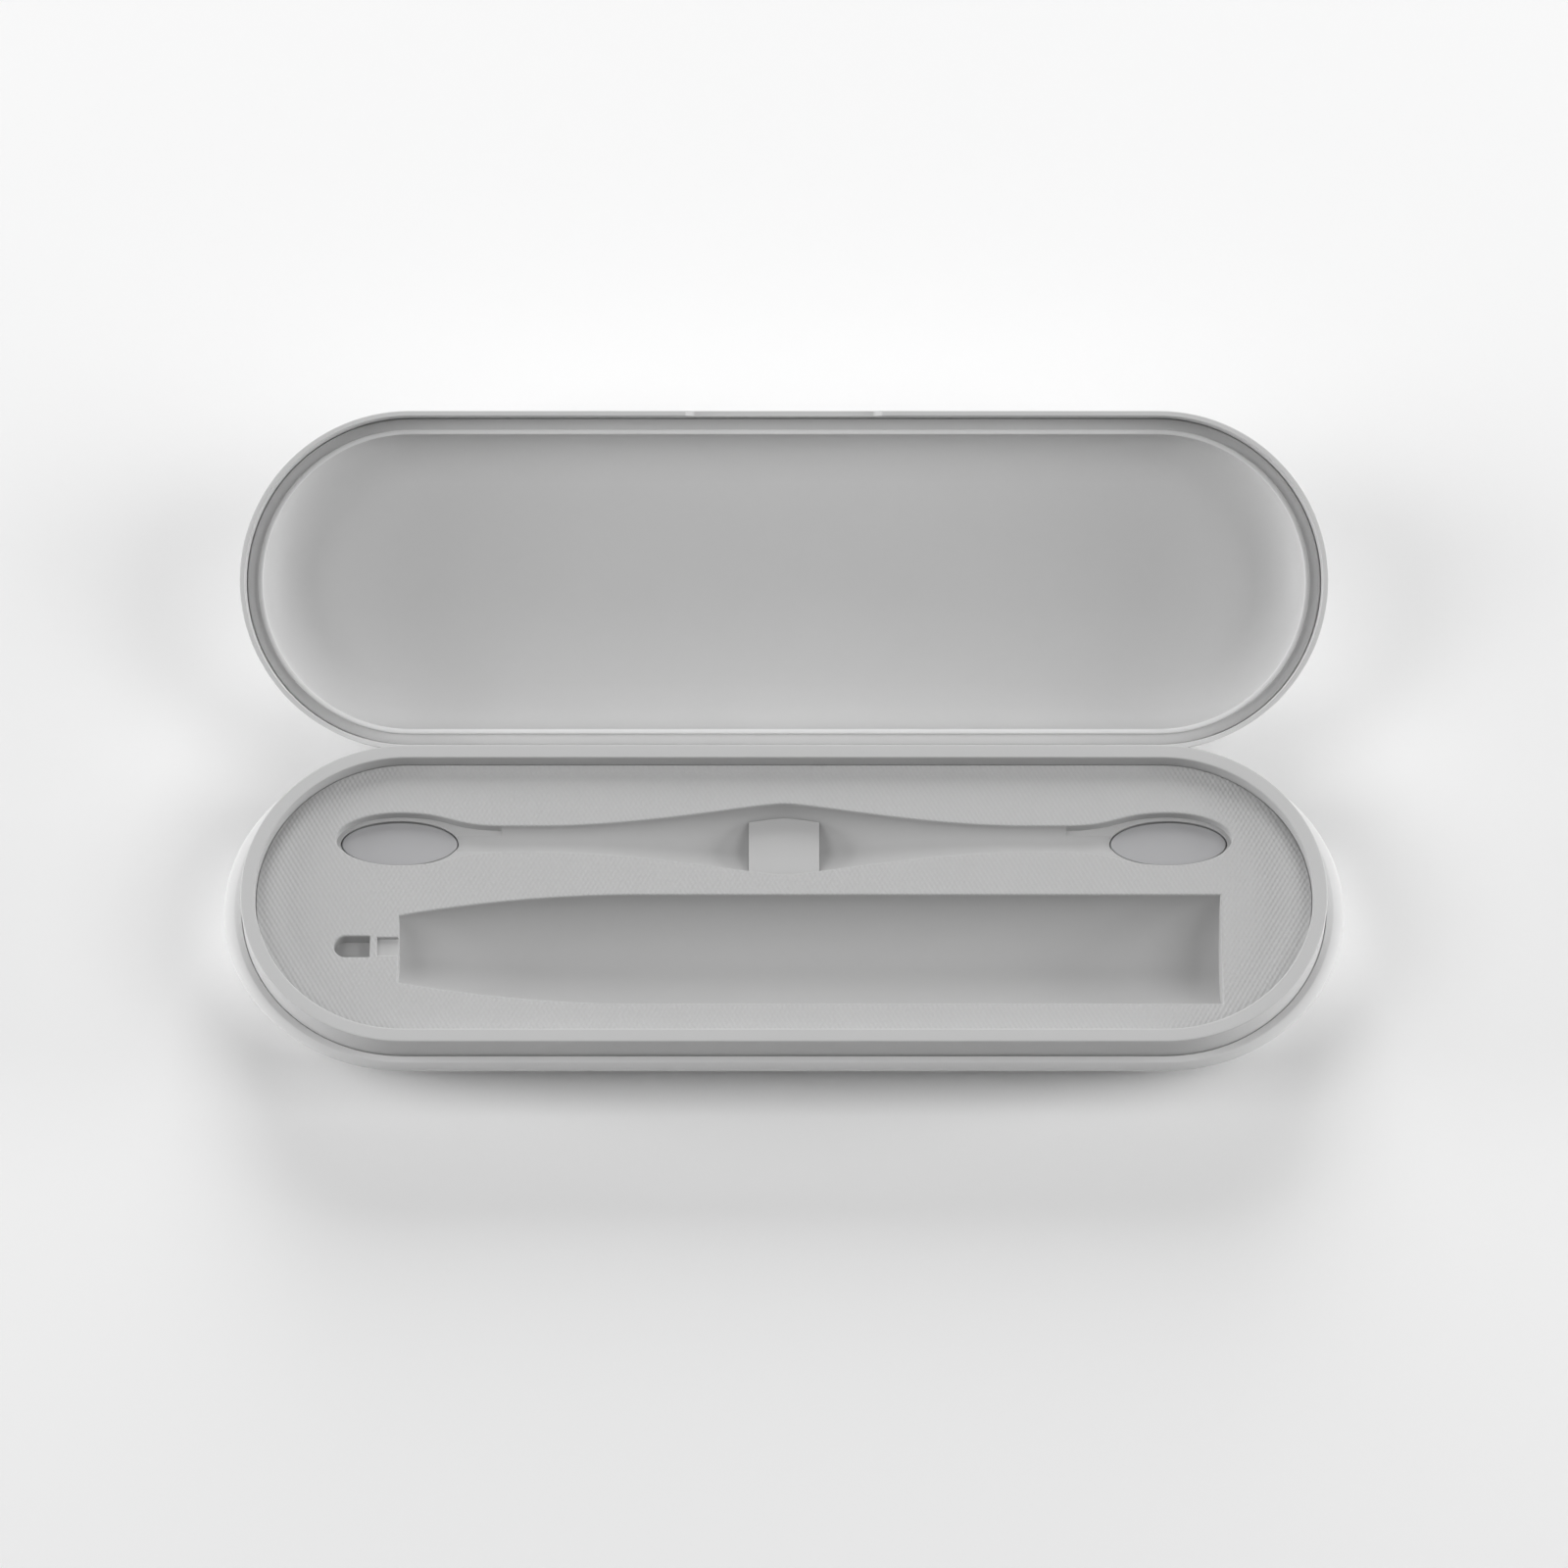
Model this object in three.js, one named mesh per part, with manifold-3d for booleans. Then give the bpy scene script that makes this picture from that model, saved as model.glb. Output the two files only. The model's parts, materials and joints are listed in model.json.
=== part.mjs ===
// Toothbrush sanitizer case: a stadium-shaped clamshell with a handle bed, two brush-head beds
// over ultraviolet windows, and a hinged lid that lies open behind the base.
//
// Frame: millimetres, +Z up. The origin is the centre of the resting face of the base pad.
// +X runs along the case, -Y is the front edge that opens, +Y is the hinge side.

import * as THREE from 'three';
import { mergeVertices } from 'three/addons/utils/BufferGeometryUtils.js';
import Module from 'manifold-3d';

const wasm = await Module();
wasm.setup();

// ---------------------------------------------------------------- driving dimensions

const caseLength = 236;         // outline of the lid and of the base ledge
const caseWidth = 73.5;
const partingHeight = 19.5;     // parting plane above the resting face
const lidHeight = 19;
const openAngle = 155;          // how far the lid stands open, in degrees
const fitGap = 0.3;             // between pieces that seat on or in each other
const throughCut = 2;           // how far a cutter runs past the faces it cuts

const arcSteps = 16;            // facets in each half-round end of the outline
const bellySteps = 8;           // facets from the belly to the bottom
const curveSteps = 8;           // facets along each curved run of a bed
const crownSteps = 6;           // facets in each quarter round of the shells
const straightHalf = (caseLength - caseWidth) / 2;

// base shell
const bulgeSide = 0.9;          // belly beyond the ledge, front and back
const bulgeEnd = 2.4;           // belly beyond the ledge, at the two ends
const bellyDrop = 2.2;          // widest line of the belly below the ledge
const undercutIn = 10;          // how far the underside curves in
const bellyTurn = 1.3;          // upright run below the widest line
const undersideRun = 2.9;       // level run where the underside meets the bottom
const shoulderOut = 0.75;       // share of the belly's bulge kept at the shoulder
const shoulderUp = 0.55;        // share of the drop at which the shoulder lies
const padProud = 0.6;           // shell bottom above the resting face
const ledgeWidth = 1.3;
const shelfWidth = 2.6;         // inset of the inner wall below the collar
const shelfHeight = 16.7;
const floorTop = 3.6;
const floorInset = 12.6;

// base pad
const padThickness = 1.2;
const padInset = 11.2;

// rim collar
const collarThickness = 3.1;
const collarRise = 7;           // above the parting plane
const seatWidth = 1.5;          // inner step that carries the tray
const seatDepth = 3.4;          // height of that step

// tray
const trayDrop = 3.5;           // tray surface below the top of the collar
const trayThickness = 2.2;
const tubWall = 1.6;            // wall around each bed, under the tray

// handle bed
const handleY = -11.8;
const handleLeft = -82.5;
const handleRight = 93.6;
const handleRadius = 12.8;
const handleTipRadius = 7.8;
const handleTaperEnd = -30;
const tipSlopeIn = 2.8;         // pull of the taper's curve at the tip
const tipSlopeAlong = 14.5;
const taperBlend = 20;          // straight pull before the taper ends

// shaft slot at the left end of the handle bed
const slotY = -11.2;
const slotWidth = 4.9;
const slotLength = 7.7;
const slotDepth = 3.5;
const slotBridge = 1.5;
const grooveWidth = 4.2;
const grooveDepth = 1;
const grooveLength = 4.6;

// brush-head bed
const headY = 14.3;
const headRadius = 8.4;
const neckRadius = 3.05;
const neckX = 52;
const headBlend = 6;            // straight pull at the middle
const neckBlend = 22;           // straight pull before the neck
const ovalX = 82.8;
const ovalHalfLength = 13.6;     // from the widest place of an end to its tip
const ovalHalfWidth = 6.2;
const ovalThroat = 22;          // from the widest place back to where the neck starts to widen
const ovalDepth = 2.4;
const dividerHalfLength = 7.6;
const dividerDrop = 4.2;        // top of the divider below the tray surface

// ultraviolet windows and lamps
const windowHalfLength = 12.4;
const windowHalfWidth = 5.1;
const windowThickness = 1.2;
const windowSeat = 1.3;         // lip under the window's edge
const lampBoardDrop = 1.2;      // lamp board below the window tub
const lampBoardLength = 26;
const lampBoardWidth = 11;
const boardThickness = 1.6;
const lampSpacing = 11;
const lampSize = 3.5;
const lampHeight = 1.1;

// electronics
const mainBoardX = 40;
const mainBoardLength = 56;
const mainBoardWidth = 19;
const mainBoardLift = 2.8;      // over the floor of the shell
const cellRadius = 5;
const cellLength = 44;
const cellX = -40;
const cellY = 14;
const portWidth = 9;
const portHeight = 3.2;
const portLength = 7.6;
const portX = 55;
const portSink = 3.4;           // port's mouth inside the back edge of the outline
const portStandoff = 0.6;       // between the board's edge and the port's inner end
const portWall = 0.4;
const portBack = 1;             // closed back of the port
const tongueInset = 1.4;        // contact tongue inside the port's ends
const tongueSink = 0.8;         // contact tongue behind the mouth
const tongueThickness = 0.7;
const tongueRoot = 0.5;         // how far the tongue starts inside the closed back
const sensorOffset = -10;       // lid sensor from the middle of the main board, along the case
const sensorLift = 4;           // and across it
const sensorLength = 4;
const sensorWidth = 3;
const sensorHeight = 1.2;
const postRadius = 1.8;
const postFoot = 1;             // posts sunk into the floor
const leadWidth = 3;
const leadThickness = 0.4;
const leadInset = 4;            // from the end of the main board

// case screws
const screwX = 101;
const screwY = 7;
const screwShankRadius = 1;
const screwHeadRadius = 2.1;
const screwHeadHeight = 0.8;
const screwLength = 9;
const bossRadius = 2.6;

// catch magnets
const magnetX = 58;
const magnetLength = 10;
const magnetWidth = 1.2;
const magnetHeight = 2;
const magnetCover = 1;          // collar over the magnet

// lid
const lidWall = 1.1;
const lidTop = 1.4;
const lidSideHeight = 9.5;      // straight part of the lid's side wall
const lidCrownIn = 11;          // how far the lid's crown curves in
const rebateDepth = 8.4;        // from the lid's rim to the flange of the liner
const linerWall = 1.2;
const cavityInset = 4.7;
const cavityDepth = 16;         // from the lid's rim to the cavity floor
const cavityRounding = 10.3;
const sealWidth = 1.1;
const scoopLength = 43.4;
const scoopDepth = 1.2;
const scoopSlope = 2.5;         // run of each sloped end of the scoop

// hinge
const hingeOut = 0.3;           // hinge line outside the case's back edge
const knuckleRadius = 0.8;
const pinRadius = 0.4;
const leafCentre = 42;
const leafLength = 58;
const leafHeight = 3.5;
const leafThickness = 0.7;
const knuckleCount = 5;
const knuckleHook = 0.4;        // share of the knuckle's radius that its neck overlaps

// ---------------------------------------------------------------- derived levels

const hingeY = caseWidth / 2 + hingeOut;
const ledgeTop = partingHeight - fitGap / 2;
const bellyHeight = partingHeight - bellyDrop;
const collarInset = ledgeWidth + fitGap;
const collarInner = collarInset + collarThickness;
const collarTop = partingHeight + collarRise;
const trayTop = collarTop - trayDrop;
const trayUnder = trayTop - trayThickness;
const trayInset = collarInner + fitGap;
const ovalFloor = trayTop - ovalDepth;
const windowSeatHeight = ovalFloor - windowThickness - fitGap;
const windowTubBottom = windowSeatHeight - windowSeat;
const lampBoardTop = windowTubBottom - lampBoardDrop;
const mainBoardBottom = floorTop + mainBoardLift;
const mainBoardTop = mainBoardBottom + boardThickness;
const portMouth = caseWidth / 2 - portSink;
const mainBoardY = portMouth - portLength - portStandoff - mainBoardWidth / 2;
const bossBottom = floorTop + fitGap;
const screwHeadTop = padThickness + fitGap + screwHeadHeight;

// ---------------------------------------------------------------- geometry helpers

/** Ring of the case outline, moved in by inset; stretch lengthens the two ends. */
function outline(inset, height, stretch = 0) {
  const radius = caseWidth / 2 - inset;
  const ring = [];
  for (const side of [1, -1]) {
    for (let step = 0; step <= arcSteps; step++) {
      const angle = side * (-Math.PI / 2 + Math.PI * step / arcSteps);
      const x = side * (straightHalf + (radius + stretch) * Math.cos(angle));
      ring.push(new THREE.Vector3(x, radius * Math.sin(angle), height));
    }
  }
  return ring;
}

/** Rings of an ellipse, one at each height. */
function ellipseRings(halfLength, halfWidth, heights, segments = 28) {
  const curve = new THREE.EllipseCurve(0, 0, halfLength, halfWidth);
  const points = curve.getPoints(segments).slice(0, segments);
  return heights.map((height) => points.map((point) => new THREE.Vector3(point.x, point.y, height)));
}

/** Skin through rings of equal length: closed on itself, or capped flat at both ends. */
function skin(rings, closedLoop = false) {
  const around = rings[0].length;
  const faces = [];
  const bands = closedLoop ? rings.length : rings.length - 1;
  for (let band = 0; band < bands; band++) {
    const low = band * around;
    const high = ((band + 1) % rings.length) * around;
    for (let point = 0; point < around; point++) {
      const next = (point + 1) % around;
      faces.push(low + point, low + next, high + next);
      faces.push(low + point, high + next, high + point);
    }
  }
  if (!closedLoop) {
    const flat = rings[0].map((point) => new THREE.Vector2(point.x, point.y));
    const last = (rings.length - 1) * around;
    for (const [a, b, c] of THREE.ShapeUtils.triangulateShape(flat, [])) {
      faces.push(c, b, a);
      faces.push(last + a, last + b, last + c);
    }
  }
  const geometry = new THREE.BufferGeometry().setFromPoints(rings.flat());
  geometry.setIndex(faces);
  return geometry;
}

/** A closed geometry as a solid that can be joined and cut. */
function solid(geometry) {
  const bare = geometry.clone();
  bare.deleteAttribute('normal');
  bare.deleteAttribute('uv');
  const merged = mergeVertices(bare, 1e-4);
  const kept = [];
  const index = merged.index.array;
  for (let i = 0; i < index.length; i += 3) {
    const [a, b, c] = index.subarray(i, i + 3);
    if (a !== b && b !== c && c !== a) {
      kept.push(a, b, c);
    }
  }
  return new wasm.Manifold(new wasm.Mesh({
    numProp: 3,
    vertProperties: new Float32Array(merged.attributes.position.array),
    triVerts: new Uint32Array(kept),
  }));
}

/** The solid as a geometry with normals. */
function surface(body) {
  const mesh = body.getMesh();
  const geometry = new THREE.BufferGeometry();
  geometry.setAttribute('position', new THREE.BufferAttribute(mesh.vertProperties, mesh.numProp));
  geometry.setIndex(new THREE.BufferAttribute(mesh.triVerts, 1));
  geometry.computeVertexNormals();
  return geometry;
}

/** Box between two corners. */
function block(low, high) {
  const size = high.map((value, axis) => value - low[axis]);
  const geometry = new THREE.BoxGeometry(...size);
  geometry.translate(...low.map((value, axis) => value + size[axis] / 2));
  return solid(geometry);
}

/** Upright cylinder from one height to another. */
function post(x, y, radius, bottom, top, segments = 12) {
  const geometry = new THREE.CylinderGeometry(radius, radius, top - bottom, segments);
  geometry.rotateX(Math.PI / 2);
  geometry.translate(x, y, (bottom + top) / 2);
  return solid(geometry);
}

/** Cylinder along X from one end to the other. */
function rod(left, right, y, z, radius, segments = 12) {
  const geometry = new THREE.CylinderGeometry(radius, radius, right - left, segments);
  geometry.rotateZ(Math.PI / 2);
  geometry.translate((left + right) / 2, y, z);
  return solid(geometry);
}

/** Turned solid along X: profile points are (radius, x). */
function turned(profile, y, z, segments = 28) {
  const geometry = new THREE.LatheGeometry(profile, segments);
  geometry.rotateZ(-Math.PI / 2);
  geometry.translate(0, y, z);
  return solid(geometry);
}

/** Elliptical plug at x, y between two heights. */
function oval(x, y, halfLength, halfWidth, bottom, top) {
  return solid(skin(ellipseRings(halfLength, halfWidth, [bottom, top])).translate(x, y, 0));
}

/** Profile points of a quarter ellipse from (fromInset, fromHeight) to (toInset, toHeight). */
function quarter(fromInset, fromHeight, toInset, toHeight, steps) {
  const points = [];
  for (let step = 0; step <= steps; step++) {
    const angle = (Math.PI / 2) * (step / steps);
    points.push([
      toInset + (fromInset - toInset) * Math.cos(angle),
      fromHeight + (toHeight - fromHeight) * Math.sin(angle),
    ]);
  }
  return points;
}

/** Solid between outline rings given as [inset, height, stretch] from bottom to top. */
function tub(profile) {
  return solid(skin(profile.map(([inset, height, stretch]) => outline(inset, height, stretch))));
}

/** Ring-shaped solid whose section is a closed profile of [inset, height], outer side upwards. */
function hoop(profile) {
  return solid(skin(profile.map(([inset, height]) => outline(inset, height)), true));
}

const rectangle = (outer, inner, bottom, top) => [[outer, bottom], [outer, top], [inner, top], [inner, bottom]];

// ---------------------------------------------------------------- group and finishes

const toothbrushSanitizer = new THREE.Group();
const lidGroup = new THREE.Group();
lidGroup.position.set(0, hingeY, partingHeight);
lidGroup.rotation.x = -THREE.MathUtils.degToRad(openAngle);
const lidFrame = new THREE.Group();
lidFrame.position.set(0, -hingeY, -partingHeight);
lidGroup.add(lidFrame);
toothbrushSanitizer.add(lidGroup);

const finishes = {
  shell: [0xdcdcdc, 0.5, 0],
  collar: [0xd2d2d2, 0.45, 0],
  tray: [0xc6c6c6, 0.6, 0],
  liner: [0xcdcdcd, 0.55, 0],
  seal: [0xd6d6d6, 0.6, 0],
  rubber: [0xb4b4b4, 0.8, 0],
  window: [0xb9bcbd, 0.25, 0],
  board: [0x2e5e45, 0.55, 0],
  lamp: [0xd8cf9c, 0.35, 0],
  steel: [0xb8babc, 0.3, 1],
  cell: [0x5f7f9a, 0.45, 0],
  ribbon: [0xb06a2c, 0.5, 0],
};

/** Adds one named sub-part to the base or to the lid. */
function add(name, body, finish, parent = toothbrushSanitizer) {
  const [color, roughness, metalness] = finishes[finish];
  const mesh = new THREE.Mesh(surface(body), new THREE.MeshStandardMaterial({ color, roughness, metalness }));
  mesh.name = name;
  parent.add(mesh);
}

const sides = [['left', -1], ['right', 1]];

// ---------------------------------------------------------------- hinge positions

/** Left and right ends of each hinge leaf along X. */
function leafSpan(side) {
  return [side * leafCentre - leafLength / 2, side * leafCentre + leafLength / 2];
}

/** Ends of each knuckle of one leaf: the base has the even ones, the lid the odd ones. */
function knuckles(side, first) {
  const [left] = leafSpan(side);
  const pitch = leafLength / knuckleCount;
  const spans = [];
  for (let place = first; place < knuckleCount; place += 2) {
    spans.push([left + place * pitch + fitGap / 2, left + (place + 1) * pitch - fitGap / 2]);
  }
  return spans;
}

/** Room that a hinge leaf and its knuckles need in the wall behind them. */
function hingeRelief(side, low, high) {
  const [left, right] = leafSpan(side);
  const inner = caseWidth / 2 - leafThickness - fitGap;
  return block([left - fitGap, inner, low], [right + fitGap, hingeY + throughCut, high])
    .add(rod(left - fitGap, right + fitGap, hingeY, partingHeight, knuckleRadius + fitGap, 16));
}

/** One hinge leaf: a plate in the wall, and knuckles with a bore for the pin. */
function hingeLeaf(side, first, away) {
  const [left, right] = leafSpan(side);
  const inner = caseWidth / 2 - leafThickness;
  const near = partingHeight + away * (knuckleRadius + fitGap);
  const far = near + away * leafHeight;
  const hook = partingHeight + away * knuckleRadius * knuckleHook;
  let leaf = block([left, inner, Math.min(near, far)], [right, caseWidth / 2, Math.max(near, far)]);
  for (const [start, end] of knuckles(side, first)) {
    leaf = leaf.add(block([start, inner, Math.min(hook, near)], [end, caseWidth / 2, Math.max(hook, near)]));
    leaf = leaf.add(rod(start, end, hingeY, partingHeight, knuckleRadius));
  }
  const bore = rod(left - throughCut, right + throughCut, hingeY, partingHeight, pinRadius + fitGap / 4, 10);
  return leaf.subtract(bore);
}

// ---------------------------------------------------------------- base shell and pad

/** Outer form of the base: a belly under the ledge, curving in to a flat underside. */
function baseForm() {
  const side = new THREE.CubicBezierCurve(
    new THREE.Vector2(-bulgeSide, bellyHeight),
    new THREE.Vector2(-bulgeSide, bellyHeight - bellyTurn),
    new THREE.Vector2(undercutIn - bulgeSide - undersideRun, padProud),
    new THREE.Vector2(undercutIn - bulgeSide, padProud),
  );
  const stretch = bulgeEnd - bulgeSide;
  const under = side.getPoints(bellySteps).reverse().map((point) => [point.x, point.y, stretch]);
  const belly = [
    [-bulgeSide * shoulderOut, bellyHeight + bellyDrop * shoulderUp, stretch * shoulderOut],
    [0, ledgeTop, 0],
  ];
  return tub([...under, ...belly]);
}

/** Hollow of the base, with the shelf that the collar stands on. */
function baseHollow() {
  const bowl = quarter(shelfWidth, shelfHeight, floorInset, floorTop, crownSteps).reverse();
  return tub([...bowl, [ledgeWidth, shelfHeight], [ledgeWidth, ledgeTop + throughCut]]);
}

function portOpening(gap) {
  return block(
    [portX - portWidth / 2 - gap, portMouth - portLength - gap, mainBoardTop - gap],
    [portX + portWidth / 2 + gap, caseWidth / 2 + throughCut, mainBoardTop + portHeight + gap],
  );
}

function screwPlaces() {
  return [[-screwX, -screwY], [-screwX, screwY], [screwX, -screwY], [screwX, screwY]];
}

function lampPosts(side) {
  const reach = lampBoardLength / 2 - postRadius;
  return [-reach, reach].map((offset) => [side * ovalX + offset, headY]);
}

function boardPosts() {
  const reach = mainBoardLength / 2 - 2 * postRadius;
  return [[mainBoardX - reach, mainBoardY], [mainBoardX + reach, mainBoardY]];
}

let baseShell = baseForm().subtract(baseHollow());
for (const [, side] of sides) {
  for (const [x, y] of lampPosts(side)) {
    const top = lampBoardTop - boardThickness - fitGap;
    baseShell = baseShell.add(post(x, y, postRadius, floorTop - postFoot, top, 10));
  }
}
for (const [x, y] of boardPosts()) {
  baseShell = baseShell.add(post(x, y, postRadius, floorTop - postFoot, mainBoardBottom - fitGap, 10));
}
const padRecess = tub([[padInset - fitGap, -throughCut], [padInset - fitGap, padThickness + fitGap]]);
baseShell = baseShell.subtract(padRecess);
for (const [x, y] of screwPlaces()) {
  const headRoom = post(x, y, screwHeadRadius + fitGap, 0, screwHeadTop + fitGap);
  const shankRoom = post(x, y, screwShankRadius + fitGap, 0, floorTop + throughCut);
  baseShell = baseShell.subtract(headRoom).subtract(shankRoom);
}
for (const [, side] of sides) {
  const reliefLow = partingHeight - knuckleRadius - leafHeight - 2 * fitGap;
  baseShell = baseShell.subtract(hingeRelief(side, reliefLow, partingHeight + throughCut));
}
baseShell = baseShell.subtract(portOpening(fitGap));
add('base_shell', baseShell, 'shell');
add('base_pad', tub([[padInset, 0], [padInset, padThickness]]), 'rubber');

// ---------------------------------------------------------------- rim collar

const collarBottom = shelfHeight + fitGap;
const seatTop = trayUnder - fitGap;
let collar = hoop([
  [collarInset, collarBottom],
  [collarInset, collarTop],
  [collarInner, collarTop],
  [collarInner, seatTop],
  [collarInner + seatWidth, seatTop],
  [collarInner + seatWidth, seatTop - seatDepth],
  [collarInner, collarBottom],
]);
const magnetY = -(caseWidth / 2 - collarInset - collarThickness / 2);
const baseMagnetTop = collarTop - magnetCover;
for (const [, side] of sides) {
  collar = collar.subtract(block(
    [side * magnetX - magnetLength / 2 - fitGap, magnetY - magnetWidth / 2 - fitGap, 0],
    [side * magnetX + magnetLength / 2 + fitGap, magnetY + magnetWidth / 2 + fitGap, baseMagnetTop + fitGap],
  ));
}
add('rim_collar', collar, 'collar');

for (const [word, side] of sides) {
  add(`base_magnet_${word}`, block(
    [side * magnetX - magnetLength / 2, magnetY - magnetWidth / 2, baseMagnetTop - magnetHeight],
    [side * magnetX + magnetLength / 2, magnetY + magnetWidth / 2, baseMagnetTop],
  ), 'steel');
}

// ---------------------------------------------------------------- tray

/** Radius of the handle bed along X: a taper at the left, then straight. */
function handleProfile(grow) {
  const taper = new THREE.CubicBezierCurve(
    new THREE.Vector2(handleTipRadius + grow, handleLeft - grow),
    new THREE.Vector2(handleTipRadius + grow + tipSlopeIn, handleLeft + tipSlopeAlong),
    new THREE.Vector2(handleRadius + grow, handleTaperEnd - taperBlend),
    new THREE.Vector2(handleRadius + grow, handleTaperEnd),
  );
  return [
    new THREE.Vector2(0, handleLeft - grow),
    ...taper.getPoints(curveSteps),
    new THREE.Vector2(handleRadius + grow, handleRight + grow),
    new THREE.Vector2(0, handleRight + grow),
  ];
}

/** Radius of the brush-head bed along X: wide at the middle, a neck on each side. */
function headProfile(grow) {
  const half = new THREE.CubicBezierCurve(
    new THREE.Vector2(headRadius + grow, 0),
    new THREE.Vector2(headRadius + grow, headBlend),
    new THREE.Vector2(neckRadius + grow, neckX - neckBlend),
    new THREE.Vector2(neckRadius + grow, neckX),
  ).getPoints(curveSteps);
  const mouth = ovalX - windowHalfLength;
  const right = [...half, new THREE.Vector2(neckRadius + grow, mouth), new THREE.Vector2(0, mouth)];
  const left = right.slice(1).reverse().map((point) => new THREE.Vector2(point.x, -point.y));
  return [...left, ...right];
}

/** Plan of one end of the brush-head bed: the neck widens to a rounded tip. */
function headEnd(side, grow, bottom, top) {
  const throat = new THREE.CubicBezierCurve(
    new THREE.Vector2(ovalX - ovalThroat, neckRadius + grow),
    new THREE.Vector2(ovalX - ovalThroat / 2, neckRadius + grow),
    new THREE.Vector2(ovalX - ovalThroat / 2, ovalHalfWidth + grow),
    new THREE.Vector2(ovalX, ovalHalfWidth + grow),
  ).getPoints(curveSteps);
  const tip = new THREE.EllipseCurve(
    ovalX, 0, ovalHalfLength + grow, ovalHalfWidth + grow, Math.PI / 2, 0, true,
  ).getPoints(curveSteps);
  const upper = [...throat, ...tip.slice(1)];
  const lower = upper.slice(0, -1).reverse().map((point) => new THREE.Vector2(point.x, -point.y));
  const plan = new THREE.Shape([...upper, ...lower]);
  const geometry = new THREE.ExtrudeGeometry(plan, { depth: top - bottom, bevelEnabled: false });
  geometry.translate(0, 0, bottom);
  if (side < 0) {
    geometry.rotateZ(Math.PI);
  }
  geometry.translate(0, headY, 0);
  return solid(geometry);
}

/** Keeps the part of a turned bed that lies below a height. */
function below(body, height) {
  const reach = caseLength;
  return body.intersect(block([-reach, -reach, -reach], [reach, reach, height]));
}

const slotRight = handleLeft - grooveLength - slotBridge;
const slotLeft = slotRight - slotLength;

function slotCutter() {
  const radius = slotWidth / 2;
  const bottom = trayTop - slotDepth;
  const top = trayTop + throughCut;
  return post(slotLeft + radius, slotY, radius, bottom, top, 16)
    .add(block([slotLeft + radius, slotY - radius, bottom], [slotRight, slotY + radius, top]));
}

function grooveCutter() {
  return block(
    [handleLeft - grooveLength, slotY - grooveWidth / 2, trayTop - grooveDepth],
    [handleLeft + throughCut, slotY + grooveWidth / 2, trayTop + throughCut],
  );
}

let tray = tub([[trayInset, trayUnder], [trayInset, trayTop]]);
tray = tray.add(below(turned(handleProfile(tubWall), handleY, trayTop), trayTop));
tray = tray.add(below(turned(headProfile(tubWall), headY, trayTop), trayTop));
tray = tray.add(block(
  [slotLeft - tubWall, slotY - slotWidth / 2 - tubWall, trayTop - slotDepth - tubWall],
  [slotRight + tubWall, slotY + slotWidth / 2 + tubWall, trayTop],
));
for (const [, side] of sides) {
  tray = tray.add(headEnd(side, tubWall, windowTubBottom, trayTop));
}
for (const [x, y] of screwPlaces()) {
  tray = tray.add(post(x, y, bossRadius, bossBottom, trayUnder + trayThickness / 2));
}
tray = tray.subtract(turned(handleProfile(0), handleY, trayTop));
tray = tray.subtract(turned(headProfile(0), headY, trayTop));
tray = tray.subtract(slotCutter()).subtract(grooveCutter());
for (const [, side] of sides) {
  const x = side * ovalX;
  const top = trayTop + throughCut;
  const bed = headEnd(side, 0, ovalFloor, top);
  const seat = oval(x, headY, windowHalfLength + fitGap, windowHalfWidth + fitGap, windowSeatHeight, top);
  const light = oval(x, headY, windowHalfLength - windowSeat, windowHalfWidth - windowSeat, 0, top);
  tray = tray.subtract(bed).subtract(seat).subtract(light);
}
for (const [x, y] of screwPlaces()) {
  tray = tray.subtract(post(x, y, screwShankRadius + fitGap, 0, screwHeadTop + screwLength + fitGap));
}
add('tray', tray, 'tray');

const dividerGrow = -fitGap;
const divider = below(turned(headProfile(dividerGrow), headY, trayTop), trayTop - dividerDrop).intersect(
  block([-dividerHalfLength, headY - caseWidth, 0], [dividerHalfLength, headY + caseWidth, trayTop]),
);
add('head_divider', divider, 'tray');

// ---------------------------------------------------------------- windows, lamps and electronics

for (const [word, side] of sides) {
  const x = side * ovalX;
  const bottom = windowSeatHeight + fitGap;
  const pane = oval(x, headY, windowHalfLength, windowHalfWidth, bottom, bottom + windowThickness - fitGap);
  add(`uv_window_${word}`, pane, 'window');
  add(`uv_board_${word}`, block(
    [x - lampBoardLength / 2, headY - lampBoardWidth / 2, lampBoardTop - boardThickness],
    [x + lampBoardLength / 2, headY + lampBoardWidth / 2, lampBoardTop],
  ), 'board');
  for (const [place, offset] of [['outer', side * lampSpacing / 2], ['inner', -side * lampSpacing / 2]]) {
    const lampX = x + offset;
    add(`uv_lamp_${word}_${place}`, block(
      [lampX - lampSize / 2, headY - lampSize / 2, lampBoardTop],
      [lampX + lampSize / 2, headY + lampSize / 2, lampBoardTop + lampHeight],
    ), 'lamp');
  }
}

add('main_board', block(
  [mainBoardX - mainBoardLength / 2, mainBoardY - mainBoardWidth / 2, mainBoardBottom],
  [mainBoardX + mainBoardLength / 2, mainBoardY + mainBoardWidth / 2, mainBoardTop],
), 'board');
const sensorX = mainBoardX + sensorOffset;
const sensorY = mainBoardY + sensorLift;
add('lid_sensor', block(
  [sensorX - sensorLength / 2, sensorY, mainBoardTop],
  [sensorX + sensorLength / 2, sensorY + sensorWidth, mainBoardTop + sensorHeight],
), 'cell');
add('battery_cell', rod(
  cellX - cellLength / 2, cellX + cellLength / 2, cellY, floorTop + fitGap + cellRadius, cellRadius, 20,
), 'cell');

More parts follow.
